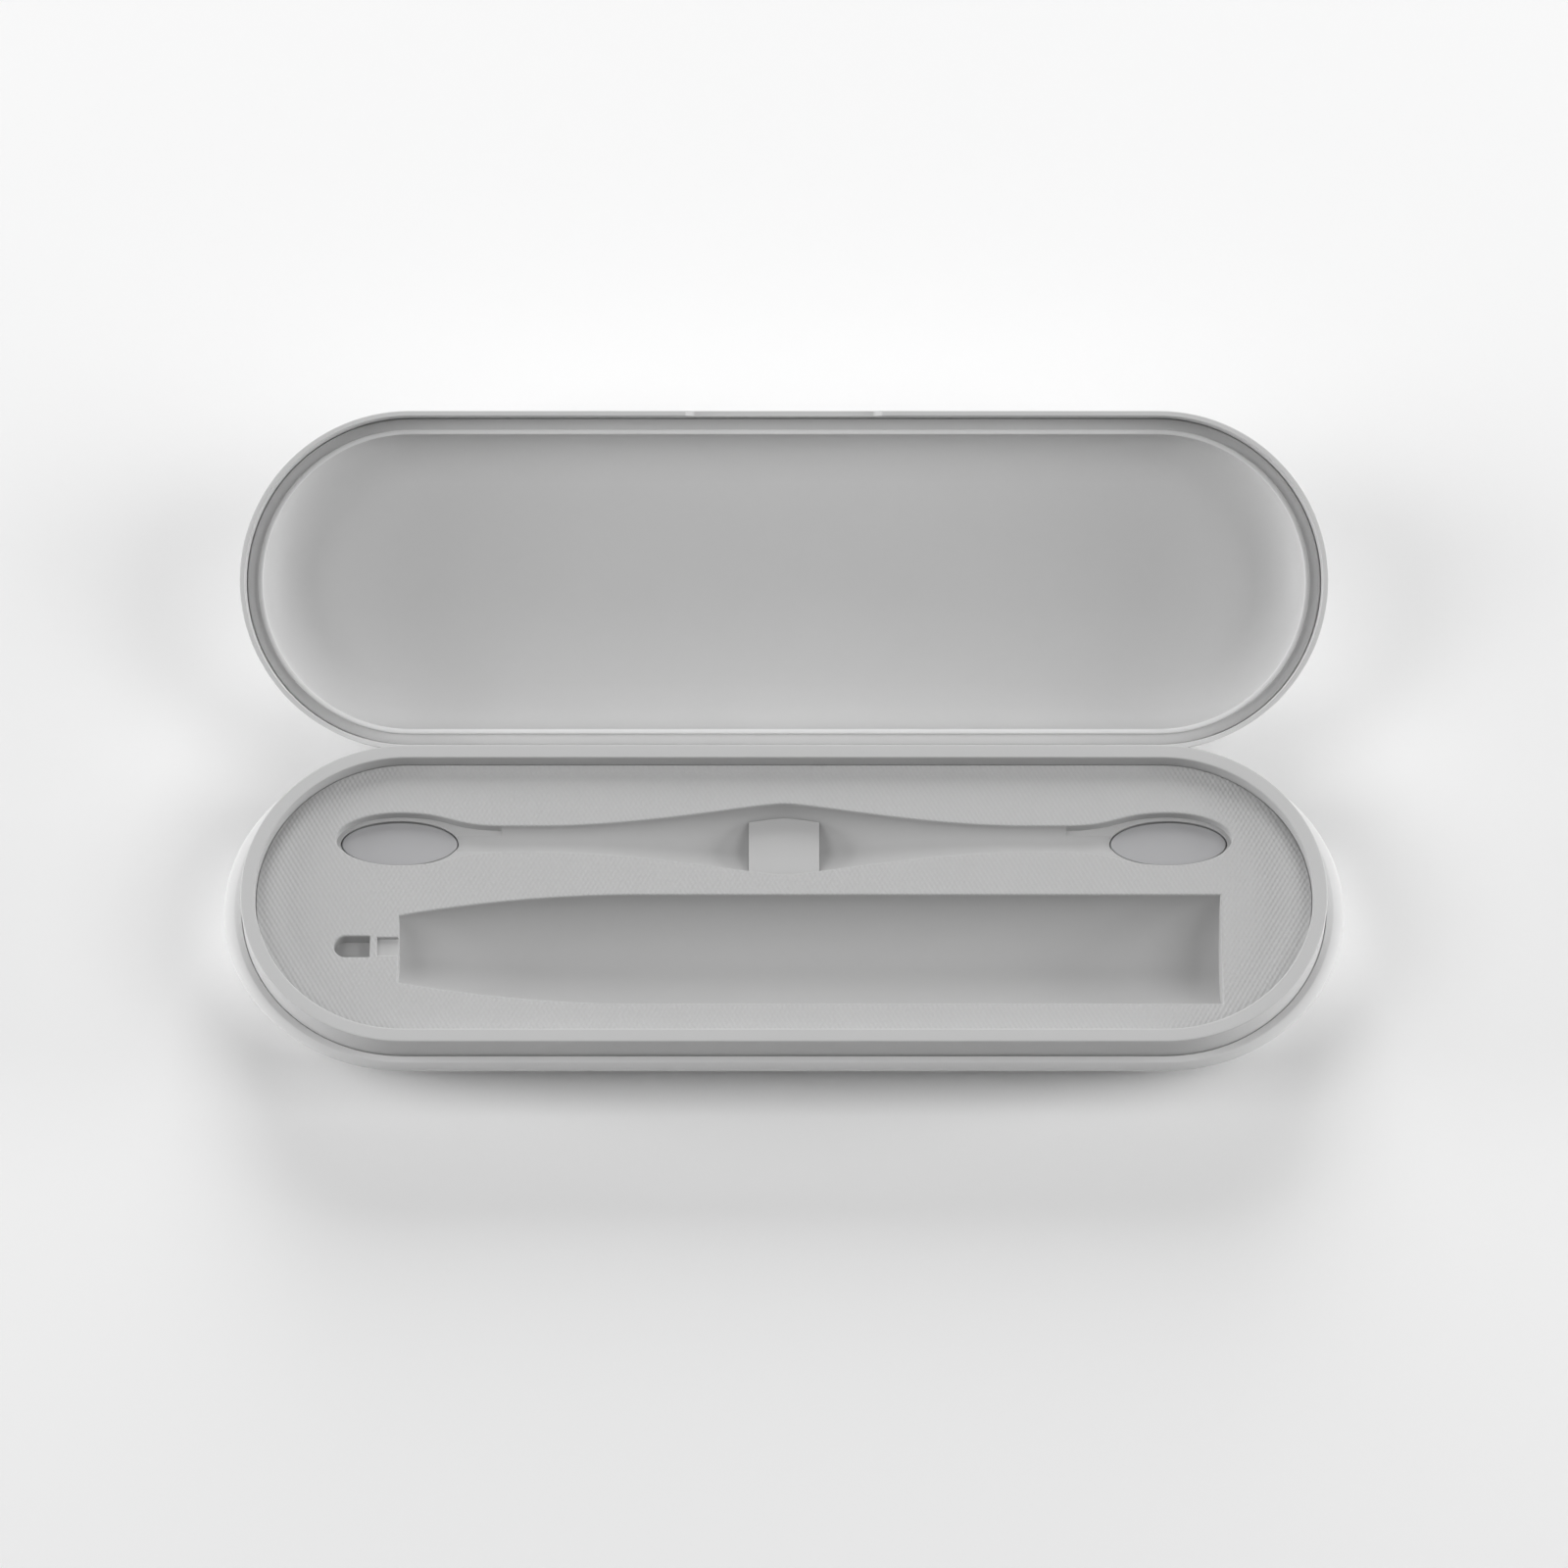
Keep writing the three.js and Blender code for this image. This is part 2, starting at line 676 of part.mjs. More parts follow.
const portCavity = block(
  [portX - portWidth / 2 + portWall, portMouth - portLength + portBack, mainBoardTop + portWall],
  [portX + portWidth / 2 - portWall, portMouth + throughCut, mainBoardTop + portHeight - portWall],
);
const tongueMiddle = mainBoardTop + portHeight / 2;
const tongueReach = portWidth / 2 - tongueInset;
const portTongue = block(
  [portX - tongueReach, portMouth - portLength + tongueRoot, tongueMiddle - tongueThickness / 2],
  [portX + tongueReach, portMouth - tongueSink, tongueMiddle + tongueThickness / 2],
);
add('charge_port', portOpening(0)
  .intersect(block([0, 0, 0], [caseLength, portMouth, caseLength]))
  .subtract(portCavity)
  .add(portTongue), 'steel');

/** Ribbon beside a lamp board, along the case, then down to the main board. */
function lampLead(side) {
  const lampEnd = side * ovalX;
  const boardEnd = mainBoardX + side * (mainBoardLength / 2 - leadInset);
  const near = headY + headRadius;
  const top = lampBoardTop - boardThickness + leadThickness;
  const run = block(
    [Math.min(lampEnd, boardEnd), near, top - leadThickness],
    [Math.max(lampEnd, boardEnd), near + leadWidth, top],
  );
  const drop = block(
    [Math.min(boardEnd, boardEnd + side * leadThickness), near, mainBoardTop + fitGap],
    [Math.max(boardEnd, boardEnd + side * leadThickness), near + leadWidth, top],
  );
  return run.add(drop);
}

for (const [word, side] of sides) {
  add(`lamp_lead_${word}`, lampLead(side), 'ribbon');
}

screwPlaces().forEach(([x, y], place) => {
  const bottom = screwHeadTop - screwHeadHeight;
  const shank = post(x, y, screwShankRadius, bottom, bottom + screwLength, 10);
  const head = post(x, y, screwHeadRadius, bottom, screwHeadTop);
  const socket = post(x, y, screwHeadRadius / 2, bottom - throughCut, bottom + screwHeadHeight / 2, 6);
  add(`case_screw_${place + 1}`, shank.add(head).subtract(socket), 'steel');
});

// ---------------------------------------------------------------- hinge

for (const [word, side] of sides) {
  const [left, right] = leafSpan(side);
  add(`hinge_leaf_base_${word}`, hingeLeaf(side, 0, -1), 'shell');
  add(`hinge_leaf_lid_${word}`, hingeLeaf(side, 1, 1), 'shell', lidFrame);
  add(`hinge_pin_${word}`, rod(left, right, hingeY, partingHeight, pinRadius, 10), 'steel');
}

// ---------------------------------------------------------------- lid, drawn closed and then turned open

const rim = partingHeight + fitGap / 2;
const lidCrown = partingHeight + lidHeight;

/** Outer form of the lid: a straight side wall under a soft crown. */
function lidForm(inset, bottom, top) {
  const crown = quarter(inset, rim + lidSideHeight, inset + lidCrownIn, top, crownSteps);
  return tub([[inset, bottom], ...crown]);
}

/** Scoop along the front of the rim that a thumb opens the lid by. */
function scoopCutter() {
  const section = new THREE.Shape();
  section.moveTo(-scoopLength / 2, -throughCut);
  section.lineTo(-scoopLength / 2, 0);
  section.lineTo(-scoopLength / 2 + scoopSlope, scoopDepth);
  section.lineTo(scoopLength / 2 - scoopSlope, scoopDepth);
  section.lineTo(scoopLength / 2, 0);
  section.lineTo(scoopLength / 2, -throughCut);
  const geometry = new THREE.ExtrudeGeometry(section, { depth: 2 * throughCut, bevelEnabled: false });
  geometry.rotateX(Math.PI / 2);
  geometry.translate(0, -caseWidth / 2 + throughCut, rim);
  return solid(geometry);
}

let lidShell = lidForm(0, rim, lidCrown).subtract(lidForm(lidWall, rim - throughCut, lidCrown - lidTop));
lidShell = lidShell.subtract(scoopCutter());
for (const [, side] of sides) {
  const reliefHigh = partingHeight + knuckleRadius + leafHeight + 2 * fitGap;
  lidShell = lidShell.subtract(hingeRelief(side, partingHeight - throughCut, reliefHigh));
}
add('lid_shell', lidShell, 'shell', lidFrame);

const flangeFace = rim + rebateDepth;
const cavityFloor = rim + cavityDepth;
const linerInset = cavityInset - linerWall;
const linerBack = flangeFace + linerWall;
const linerTop = cavityFloor + linerWall;
const linerOuter = quarter(linerInset, linerBack, linerInset + cavityRounding, linerTop, crownSteps);
const linerBody = tub([[linerInset, flangeFace], ...linerOuter])
  .add(tub([[lidWall + fitGap, flangeFace], [lidWall + fitGap, flangeFace + linerWall]]));
const cavity = tub([
  [cavityInset, flangeFace - throughCut],
  ...quarter(cavityInset, flangeFace, cavityInset + cavityRounding, cavityFloor, crownSteps),
]);
add('lid_liner', linerBody.subtract(cavity), 'liner', lidFrame);

const sealTop = flangeFace - fitGap;
const sealFace = collarTop + fitGap;
add('lid_seal', hoop(rectangle(cavityInset - sealWidth, cavityInset, sealFace, sealTop)), 'seal', lidFrame);

for (const [word, side] of sides) {
  const bottom = flangeFace + linerWall + fitGap;
  const inner = -(caseWidth / 2 - linerInset + fitGap);
  add(`lid_magnet_${word}`, block(
    [side * magnetX - magnetLength / 2, inner - magnetWidth, bottom],
    [side * magnetX + magnetLength / 2, inner, bottom + magnetHeight],
  ), 'steel', lidFrame);
}

export default toothbrushSanitizer;
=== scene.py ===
"""Looks of the toothbrush sanitizer case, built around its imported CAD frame. Metres, +Z up."""

import json
import math

import bmesh
import bpy
from mathutils import Matrix, Vector
from mathutils.geometry import interpolate_bezier


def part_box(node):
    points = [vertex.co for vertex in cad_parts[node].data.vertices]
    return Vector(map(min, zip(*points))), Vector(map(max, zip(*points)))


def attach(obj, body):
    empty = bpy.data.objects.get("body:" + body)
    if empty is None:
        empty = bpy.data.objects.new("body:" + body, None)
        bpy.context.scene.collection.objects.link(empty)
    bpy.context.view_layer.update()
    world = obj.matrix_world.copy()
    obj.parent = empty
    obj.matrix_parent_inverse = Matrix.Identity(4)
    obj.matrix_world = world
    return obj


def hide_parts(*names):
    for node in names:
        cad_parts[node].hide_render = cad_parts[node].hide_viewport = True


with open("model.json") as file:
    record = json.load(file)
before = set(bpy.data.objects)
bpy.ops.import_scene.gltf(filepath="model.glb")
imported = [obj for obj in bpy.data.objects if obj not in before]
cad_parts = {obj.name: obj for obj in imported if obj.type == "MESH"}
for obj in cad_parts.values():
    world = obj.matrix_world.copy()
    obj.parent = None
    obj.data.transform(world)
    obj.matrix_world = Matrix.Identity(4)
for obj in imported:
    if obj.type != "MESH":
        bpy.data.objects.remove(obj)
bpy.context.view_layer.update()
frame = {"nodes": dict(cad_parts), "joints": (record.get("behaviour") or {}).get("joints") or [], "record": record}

bl_info = {
    "name": "Toothbrush sanitizer case",
    "version": (1, 0, 0),
    "blender": (4, 5, 0),
    "location": "3D View > Sidebar > Sanitizer case",
    "description": "Builds the moulded shells, tray, lid, hinges, finishes and stage of the case",
    "category": "Object",
}

MM = 0.001

# ------------------------------------------------------------------ what the frame says

SHELL_LOW, SHELL_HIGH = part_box("base_shell")
COLLAR_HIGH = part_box("rim_collar")[1]
TRAY_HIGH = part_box("tray")[1]
PAD_LOW, PAD_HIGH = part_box("base_pad")
DIVIDER_LOW, DIVIDER_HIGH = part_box("head_divider")
WINDOW_LOW, WINDOW_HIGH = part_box("uv_window_right")
PORT_LOW, PORT_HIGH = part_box("charge_port")
PIN_LOW, PIN_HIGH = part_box("hinge_pin_right")
HINGE = frame["joints"][0]
HINGE_POINT = Vector(HINGE["pos_m"])
OPENING = math.radians(HINGE["range_deg"][1])

# ------------------------------------------------------------------ driving sizes

FIT = 0.3 * MM
PAST = 2 * MM                 # how far a cutter runs past what it cuts
SNUG = 0.2 * MM               # how much closer a seated edge stands in the looks
COLLAR_INSET = 1.6 * MM       # collar behind the outline
STRAIGHT_HALF = TRAY_HIGH.x - TRAY_HIGH.y
OUTLINE_RADIUS = COLLAR_HIGH.y + COLLAR_INSET
LEDGE_TOP = SHELL_HIGH.z
TRAY_TOP = TRAY_HIGH.z
COLLAR_TOP = COLLAR_HIGH.z

BULGE_SIDE = SHELL_HIGH.y - OUTLINE_RADIUS
BULGE_END = SHELL_HIGH.x - OUTLINE_RADIUS - STRAIGHT_HALF
BELLY_DROP = 2.2 * MM
UNDERCUT = 10 * MM
BELLY_TURN = 1.3 * MM
UNDERSIDE_RUN = 2.9 * MM
LEDGE_WIDTH = 1.3 * MM
SHELF_WIDTH = 2.6 * MM
SHELF_HEIGHT = 16.7 * MM
FLOOR_TOP = 3.6 * MM
FLOOR_INSET = 12.6 * MM

COLLAR_THICKNESS = 3.1 * MM
SEAT_WIDTH = 1.5 * MM
SEAT_DEPTH = 3.4 * MM
TRAY_THICKNESS = 2.2 * MM
TUB_WALL = 1.6 * MM

HANDLE_Y = -11.8 * MM
HANDLE_LEFT = -82.5 * MM
HANDLE_RIGHT = 93.6 * MM
HANDLE_RADIUS = 12.8 * MM
HANDLE_TIP = 7.8 * MM
HANDLE_TAPER_END = -30 * MM
TIP_PULL_ACROSS = 2.8 * MM    # pulls of the taper's curve at the tip
TIP_PULL_ALONG = 14.5 * MM
TAPER_BLEND = 20 * MM         # straight pull before the taper ends

SLOT_Y = -11.2 * MM
SLOT_WIDTH = 4.9 * MM
SLOT_LENGTH = 7.7 * MM
SLOT_DEPTH = 3.5 * MM
SLOT_BRIDGE = 1.5 * MM
GROOVE_WIDTH = 4.2 * MM
GROOVE_LENGTH = 4.6 * MM
GROOVE_DEPTH = 1 * MM

HEAD_Y = (WINDOW_LOW.y + WINDOW_HIGH.y) / 2
HEAD_RADIUS = 8.4 * MM
NECK_RADIUS = 3.05 * MM
NECK_X = 52 * MM
HEAD_BLEND = 6 * MM           # straight pull at the middle
NECK_BLEND = 22 * MM          # straight pull before the neck
OVAL_X = (WINDOW_LOW.x + WINDOW_HIGH.x) / 2
OVAL_LENGTH = 13.6 * MM
OVAL_WIDTH = 6.2 * MM
OVAL_THROAT = 22 * MM
OVAL_DEPTH = 2.4 * MM
WINDOW_LENGTH = (WINDOW_HIGH.x - WINDOW_LOW.x) / 2
WINDOW_WIDTH = (WINDOW_HIGH.y - WINDOW_LOW.y) / 2
WINDOW_SEAT = 1.3 * MM

LID_HEIGHT = 19 * MM
LID_WALL = 1.1 * MM
LID_TOP = 1.4 * MM
LID_SIDE = 9.5 * MM
LID_CROWN = 12.1 * MM
REBATE_DEPTH = 8.4 * MM
LINER_WALL = 1.2 * MM
CAVITY_INSET = 4.7 * MM
CAVITY_DEPTH = 16 * MM
CAVITY_ROUND = 10.3 * MM
SEAL_WIDTH = 1.1 * MM
SCOOP_LENGTH = 43.4 * MM
SCOOP_DEPTH = 1.2 * MM
SCOOP_SLOPE = 2.5 * MM
RIM = HINGE_POINT.z + FIT / 2
LID_CROWN_TOP = HINGE_POINT.z + LID_HEIGHT

KNUCKLE_RADIUS = 0.8 * MM
LEAF_HEIGHT = 3.5 * MM
LEAF_THICKNESS = 0.7 * MM
KNUCKLES = 5
NECK_REACH = 0.4              # where a knuckle's neck ends, as a share of its radius from the pin
NECK_EXTRA = 0.2 * MM         # extra length at the lower end of each neck, lid shut
PORT_WALL = 0.4 * MM
PORT_BACK = 1 * MM            # closed back of the socket
TONGUE_INSET = 1.4 * MM
TONGUE_ROOT = 0.5 * MM
TONGUE_SINK = 0.8 * MM
TONGUE_HALF = 0.35 * MM       # half of the contact tongue's thickness

PAD_STEP = 2 * MM             # spacing of the points of the pad's profile
PAD_RELIEF = 0.25 * MM        # how far the pad's middle stands off the table
SEAL_EDGE = 0.45 * MM
SHOULDER_FULLNESS = 0.8       # lower is fuller

CURVE_STEPS = 24              # along each curved run of a bed
THROAT_STEPS = 20
SIDE_STEPS = 32               # from the belly to the bottom
EASE_STEPS = 8                # along the shoulder and each slope of the scoop
QUARTER_STEPS = 20
RIM_STEPS = 4                 # in each rounded rim
OVAL_STEPS = 72
SLOT_END_STEPS = 10           # round each end of the socket
ROUND_SEGMENTS = 96
KNUCKLE_SEGMENTS = 32
RELIEF_SEGMENTS = 40
BORE_SEGMENTS = 24
REAL_CORNER = math.radians(25)      # joints that turn less than this stay as they are
CORNER_REACH = 0.45           # share of a side that a rounded corner may use
BEVEL_CORNER = math.radians(40)
BEVEL_SEGMENTS = 3
SMOOTH_CORNER = math.radians(32)
FLATTENED = 1e-4              # share of height kept above a ceiling, so that no points meet
AT_TIP = 1e-9                 # half width below which a plan has reached its tip

FLOOR_HALF = 4.0
CAMERA_REACH = 20.0
BACK_LIGHT = ((0.0, 1.3, 0.7), 0.9)      # place and size; the other two are mirrored
SIDE_LIGHT = ((1.3, 0.0, 0.26), 0.45)
HIGH_LIGHT = ((1.0, -0.2, 1.1), 0.8)

MOTTLE = 18 * MM              # size of the faint flow marks in moulded plastic
SCUFF = 2.4 * MM
WEAVE_FADE = 0.2 * MM         # height over which the weave fades out below the tray's face
WEAVE_START = 0.25 * MM       # depth below the tray's face at which the weave begins
TARNISH = 5 * MM
DUST = 3 * MM
TRACES_ALONG = 2600           # radians per metre
TRACES_ACROSS = 3100
TRACE_SHARPNESS = 6
FIBRE = 0.6 * MM
MIX_AMOUNT = 0                # sockets of the colour mix node
MIX_FIRST = 6
MIX_SECOND = 7
MIX_RESULT = 2

SIDES = (("left", -1), ("right", 1))


# ------------------------------------------------------------------ values that a user may change


class CaseLooks(bpy.types.PropertyGroup):
    """Fineness and edges of the moulded pieces."""

    arc_steps: bpy.props.IntProperty(
        name="Arc steps", description="Faces round each half-round end", default=56, min=8, max=128)
    edge: bpy.props.FloatProperty(
        name="Edge radius", description="Rounding of moulded edges",
        default=0.35 * MM, subtype="DISTANCE", unit="LENGTH")
    fine_edge: bpy.props.FloatProperty(
        name="Fine edge radius", description="Rounding of thin rims and small pieces",
        default=0.2 * MM, subtype="DISTANCE", unit="LENGTH")
    weave_length: bpy.props.FloatProperty(
        name="Weave length", description="Repeat of the tray's weave along the case",
        default=1.07 * MM, subtype="DISTANCE", unit="LENGTH")
    weave_width: bpy.props.FloatProperty(
        name="Weave width", description="Repeat of the tray's weave across the case",
        default=1.9 * MM, subtype="DISTANCE", unit="LENGTH")
    weave_depth: bpy.props.FloatProperty(
        name="Weave depth", description="Height of the tray's weave",
        default=0.05 * MM, subtype="DISTANCE", unit="LENGTH")


def colour_property(label, grey):
    return bpy.props.FloatVectorProperty(
        name=label, description=f"Base colour of the {label.lower()}", subtype="COLOR",
        size=3, min=0.0, max=1.0, default=grey)


class CaseColours(bpy.types.PropertyGroup):
    """Base colours of the finishes."""

    shell: colour_property("Shells", (0.70, 0.70, 0.70))
    collar: colour_property("Collar", (0.58, 0.58, 0.58))
    tray: colour_property("Tray", (0.55, 0.55, 0.55))
    liner: colour_property("Lid liner", (0.70, 0.70, 0.70))
    seal: colour_property("Lid seal", (0.85, 0.85, 0.85))
    pad: colour_property("Base pad", (0.30, 0.30, 0.31))
    window: colour_property("Lamp windows", (0.46, 0.46, 0.47))
    floor: colour_property("Floor", (0.93, 0.93, 0.93))


class StageLooks(bpy.types.PropertyGroup):
    """Camera and light."""

    elevation: bpy.props.FloatProperty(
        name="Elevation", description="Camera height above the horizon",
        default=math.radians(64), subtype="ANGLE", unit="ROTATION")
    distance: bpy.props.FloatProperty(
        name="Distance", description="Camera distance from its aim",
        default=1.9, subtype="DISTANCE", unit="LENGTH")
    lens: bpy.props.FloatProperty(
        name="Lens", description="Focal length in millimetres", default=203.8)
    aim: bpy.props.FloatVectorProperty(
        name="Aim", description="Point that the camera looks at", size=3, subtype="TRANSLATION",
        unit="LENGTH", default=(0.0, 20.6 * MM, 36.96 * MM))
    back_power: bpy.props.FloatProperty(
        name="Back light", description="Watts of the back light", default=14.3)
    side_power: bpy.props.FloatProperty(
        name="Side lights", description="Watts of each side light", default=9.2)
    high_power: bpy.props.FloatProperty(
        name="High side lights", description="Watts of each high side light", default=7.0)
    ambient: bpy.props.FloatProperty(
        name="Ambient", description="Strength of the even light", default=0.02)


# ------------------------------------------------------------------ shader maths


class Value:
    """A socket of a finish, so that shader maths reads as an expression."""

    def __init__(self, finish, socket):
        self.finish = finish
        self.socket = socket

    def combined(self, operation, first, second=None):
        inputs = {0: first} if second is None else {0: first, 1: second}
        return self.finish.node("ShaderNodeMath", {"operation": operation}, inputs)

    def __add__(self, other):
        return self.combined("ADD", self, other)

    __radd__ = __add__

    def __sub__(self, other):
        return self.combined("SUBTRACT", self, other)

    def __rsub__(self, other):
        return self.combined("SUBTRACT", other, self)

    def __mul__(self, other):
        return self.combined("MULTIPLY", self, other)

    __rmul__ = __mul__

    def sine(self):
        return self.combined("SINE", self)

    def clamped(self):
        return self.finish.node("ShaderNodeClamp", {}, {"Value": self})


class Finish:
    """Node tree of one material."""

    def __init__(self, name):
        self.material = bpy.data.materials.new(name)
        self.material.use_nodes = True
        self.tree = self.material.node_tree
        self.tree.nodes.clear()

    def node(self, kind, settings=None, inputs=None, output=0):
        """Adds a node: its settings first, then the values or links of its sockets."""
        made = self.tree.nodes.new(kind)
        for key, setting in (settings or {}).items():
            setattr(made, key, setting)
        for key, value in (inputs or {}).items():
            if isinstance(value, Value):
                self.tree.links.new(value.socket, made.inputs[key])
            else:
                made.inputs[key].default_value = value
        return Value(self, made.outputs[output] if made.outputs else None)

    def place(self):
        """Position on the piece, in metres."""
        return self.node("ShaderNodeTexCoord", output="Object")

    def axes(self):
        parts = self.node("ShaderNodeSeparateXYZ", {}, {0: self.place()})
        node = parts.socket.node
        return [Value(self, node.outputs[place]) for place in range(3)]

    def noise(self, size, detail=3.0, roughness=0.55):
        """Even noise from 0 to 1 whose blotches are about size across."""
        return self.node("ShaderNodeTexNoise", {"noise_dimensions": "3D"}, {
            "Vector": self.place(), "Scale": 1 / size, "Detail": detail, "Roughness": roughness})

    def tint(self, colour, darker, amount):
        """The colour, mixed towards a darker share of itself."""
        return self.node("ShaderNodeMix", {"data_type": "RGBA", "blend_type": "MIX"}, {
            MIX_AMOUNT: amount,
            MIX_FIRST: (*colour, 1.0),
            MIX_SECOND: (*(channel * darker for channel in colour), 1.0)}, output=MIX_RESULT)

    def bump(self, height, depth):
        return self.node("ShaderNodeBump", {}, {"Height": height, "Distance": depth, "Strength": 1.0})

    def surface(self, inputs):
        shader = self.node("ShaderNodeBsdfPrincipled", {}, inputs)
        self.node("ShaderNodeOutputMaterial", {}, {0: shader})
        return self.material


def moulded(name, colour, roughness, grain=0.25 * MM, depth=0.004 * MM, specular=0.35, weave=None):
    """Moulded plastic or silicone: spark-eroded grain, faint flow mottling, uneven sheen."""
    finish = Finish(name)
    grain_height = finish.noise(grain, 2.0)
    mottle = finish.noise(MOTTLE, 3.0)
    scuff = finish.noise(SCUFF, 4.0, 0.7)
    tone = finish.tint(colour, 0.93, mottle * 0.6 + scuff * 0.25)
    height = grain_height * depth
    if weave:
        height = height + weave(finish)
    return finish.surface({
        "Base Color": tone,
        "Roughness": (roughness - 0.06) + mottle * 0.06 + scuff * 0.06,
        "Specular IOR Level": specular,
        "Normal": finish.bump(height, 1.0)})


def tray_weave(finish):
    """Raised diamonds on the tray's flat face, fading out inside the beds."""
    looks = bpy.context.scene.case_looks
    x, y, z = finish.axes()
    along = x * (2 * math.pi / looks.weave_length)
    across = y * (2 * math.pi / looks.weave_width)
    diamonds = along.sine() * across.sine()
    on_face = ((z - (TRAY_TOP - WEAVE_START)) * (1 / WEAVE_FADE)).clamped()
    return diamonds * on_face * looks.weave_depth


def metal(name, colour, roughness, streak=0.4 * MM):
    """Plated metal with fine drawn streaks."""
    finish = Finish(name)
    streaks = finish.noise(streak, 5.0, 0.7)
    tarnish = finish.noise(TARNISH, 3.0)
    return finish.surface({
        "Base Color": finish.tint(colour, 0.85, tarnish),
        "Metallic": 1.0,
        "Roughness": roughness + streaks * 0.15,
        "Normal": finish.bump(streaks, 0.004 * MM)})


def circuit_board(name, colour):
    """Solder mask over copper traces that show as raised lines."""
    finish = Finish(name)
    x, y, _ = finish.axes()
    traces = ((x * TRACES_ALONG).sine() * (y * TRACES_ACROSS).sine() * TRACE_SHARPNESS + 0.5).clamped()
    dust = finish.noise(DUST)
    return finish.surface({
        "Base Color": finish.tint(colour, 1.6, traces),
        "Roughness": 0.35 + dust * 0.2,
        "Normal": finish.bump(traces, 0.03 * MM)})


def finishes():
    """All materials of the case, by the record's slot."""
    colours = bpy.context.scene.case_colours
    return {
        "shell": lambda: moulded("shell_satin", colours.shell, 0.5),
        "collar": lambda: moulded("collar_satin", colours.collar, 0.46, 0.2 * MM, 0.002 * MM),
        "tray": lambda: moulded("tray_woven", colours.tray, 0.6, 0.3 * MM, 0.003 * MM, 0.3, tray_weave),
        "liner": lambda: moulded("liner_satin", colours.liner, 0.52, 0.3 * MM, 0.003 * MM),
        "seal": lambda: moulded("seal_silicone", colours.seal, 0.6, 0.5 * MM, 0.003 * MM, 0.3),
        "rubber": lambda: moulded("pad_silicone", colours.pad, 0.8, 0.6 * MM, 0.02 * MM, 0.25),
        "window": lambda: moulded("window_frosted", colours.window, 0.38, 0.15 * MM, 0.001 * MM, 0.5),
        "board": lambda: circuit_board("board_mask", (0.03, 0.14, 0.08)),
        "lamp": lambda: moulded("lamp_ceramic", (0.72, 0.68, 0.46), 0.3),
        "steel": lambda: metal("plated_steel", (0.62, 0.62, 0.63), 0.25),
        "cell": lambda: moulded("cell_sleeve", (0.10, 0.22, 0.34), 0.35, 1.2 * MM, 0.01 * MM),
        "ribbon": lambda: moulded("ribbon_film", (0.45, 0.18, 0.04), 0.3, 0.8 * MM, 0.004 * MM),
    }


def finish_of(slot):
    """The material of a slot, made once."""
    found = bpy.data.materials.get(f"slot_{slot}")
    if found is None:
        found = finishes()[slot]()
        found.name = f"slot_{slot}"
    return found


# ------------------------------------------------------------------ mesh helpers


def looks():
    return bpy.context.scene.case_looks


def outline(inset, height, stretch=0.0):
    """Ring of the case outline moved in by inset; stretch lengthens its two ends."""
    radius = OUTLINE_RADIUS - inset
    steps = looks().arc_steps
    ring = []
    for side in (1, -1):
        for step in range(steps + 1):
            angle = side * math.pi * (step / steps - 0.5)
            x = side * (STRAIGHT_HALF + (radius + stretch) * math.cos(angle))
            ring.append(Vector((x, radius * math.sin(angle), height)))
    return ring


def add_object(name, data):
    piece = bpy.data.objects.new(name, data)
    bpy.context.scene.collection.objects.link(piece)
    return piece


def skin(name, rings, closed=False):
    """Mesh through rings of equal length: closed on itself, or capped at both ends."""
    work = bmesh.new()
    loops = [[work.verts.new(point) for point in ring] for ring in rings]
    following = loops[1:] + loops[:1] if closed else loops[1:]
    for low, high in zip(loops, following):
        for place, corner in enumerate(low):
            after = (place + 1) % len(low)
            work.faces.new((corner, low[after], high[after], high[place]))
    if not closed:
        work.faces.new(loops[0])
        work.faces.new(loops[-1])
    bmesh.ops.recalc_face_normals(work, faces=work.faces)
    data = bpy.data.meshes.new(name)
    work.to_mesh(data)
    work.free()
    return add_object(name, data)


def eased(profile, radius, closed=False, steps=RIM_STEPS):
    """Profile with its real corners rounded; nearly straight joints stay as they are."""
    points = [Vector(point if len(point) == 3 else (*point, 0.0)) for point in profile]
    result = []
    for place, here in enumerate(points):
        at_end = not closed and place in (0, len(points) - 1)
        before = points[place - 1] - here
        after = points[(place + 1) % len(points)] - here
        if at_end or (-before).angle(after) < REAL_CORNER:
            result.append(here)
            continue
        reach = min(radius, before.length * CORNER_REACH, after.length * CORNER_REACH)
        start = here + before.normalized() * reach
        end = here + after.normalized() * reach
        for step in range(steps + 1):
            share = step / steps
            near = start.lerp(here, share)
            far = here.lerp(end, share)
            result.append(near.lerp(far, share))
    return result


def quarter(start, end, steps=QUARTER_STEPS):
    """Quarter ellipse between two (inset, height) points; it leaves start upright."""
    points = []
    for step in range(steps + 1):
        angle = math.pi / 2 * step / steps
        inset = end[0] + (start[0] - end[0]) * math.cos(angle)
        points.append((inset, start[1] + (end[1] - start[1]) * math.sin(angle)))
    return points


def moulding(name, profile, radius, closed=False):
    """Piece that follows the case outline, from a profile of (inset, height, stretch)."""
    rings = [outline(point.x, point.y, point.z) for point in eased(profile, radius, closed)]
    return skin(name, rings, closed)


def bake(piece):
    """Applies every modifier of a piece."""
    graph = bpy.context.evaluated_depsgraph_get()
    data = bpy.data.meshes.new_from_object(piece.evaluated_get(graph))
    piece.modifiers.clear()
    piece.data = data


def combine(piece, operation, *others):
    """Joins, cuts or intersects a piece with others, and removes the others."""
    for other in others:
        modifier = piece.modifiers.new(operation.lower(), "BOOLEAN")
        modifier.operation = operation
        modifier.solver = "EXACT"
        modifier.object = other
    bake(piece)
    for other in others:
        bpy.data.objects.remove(other)
    return piece


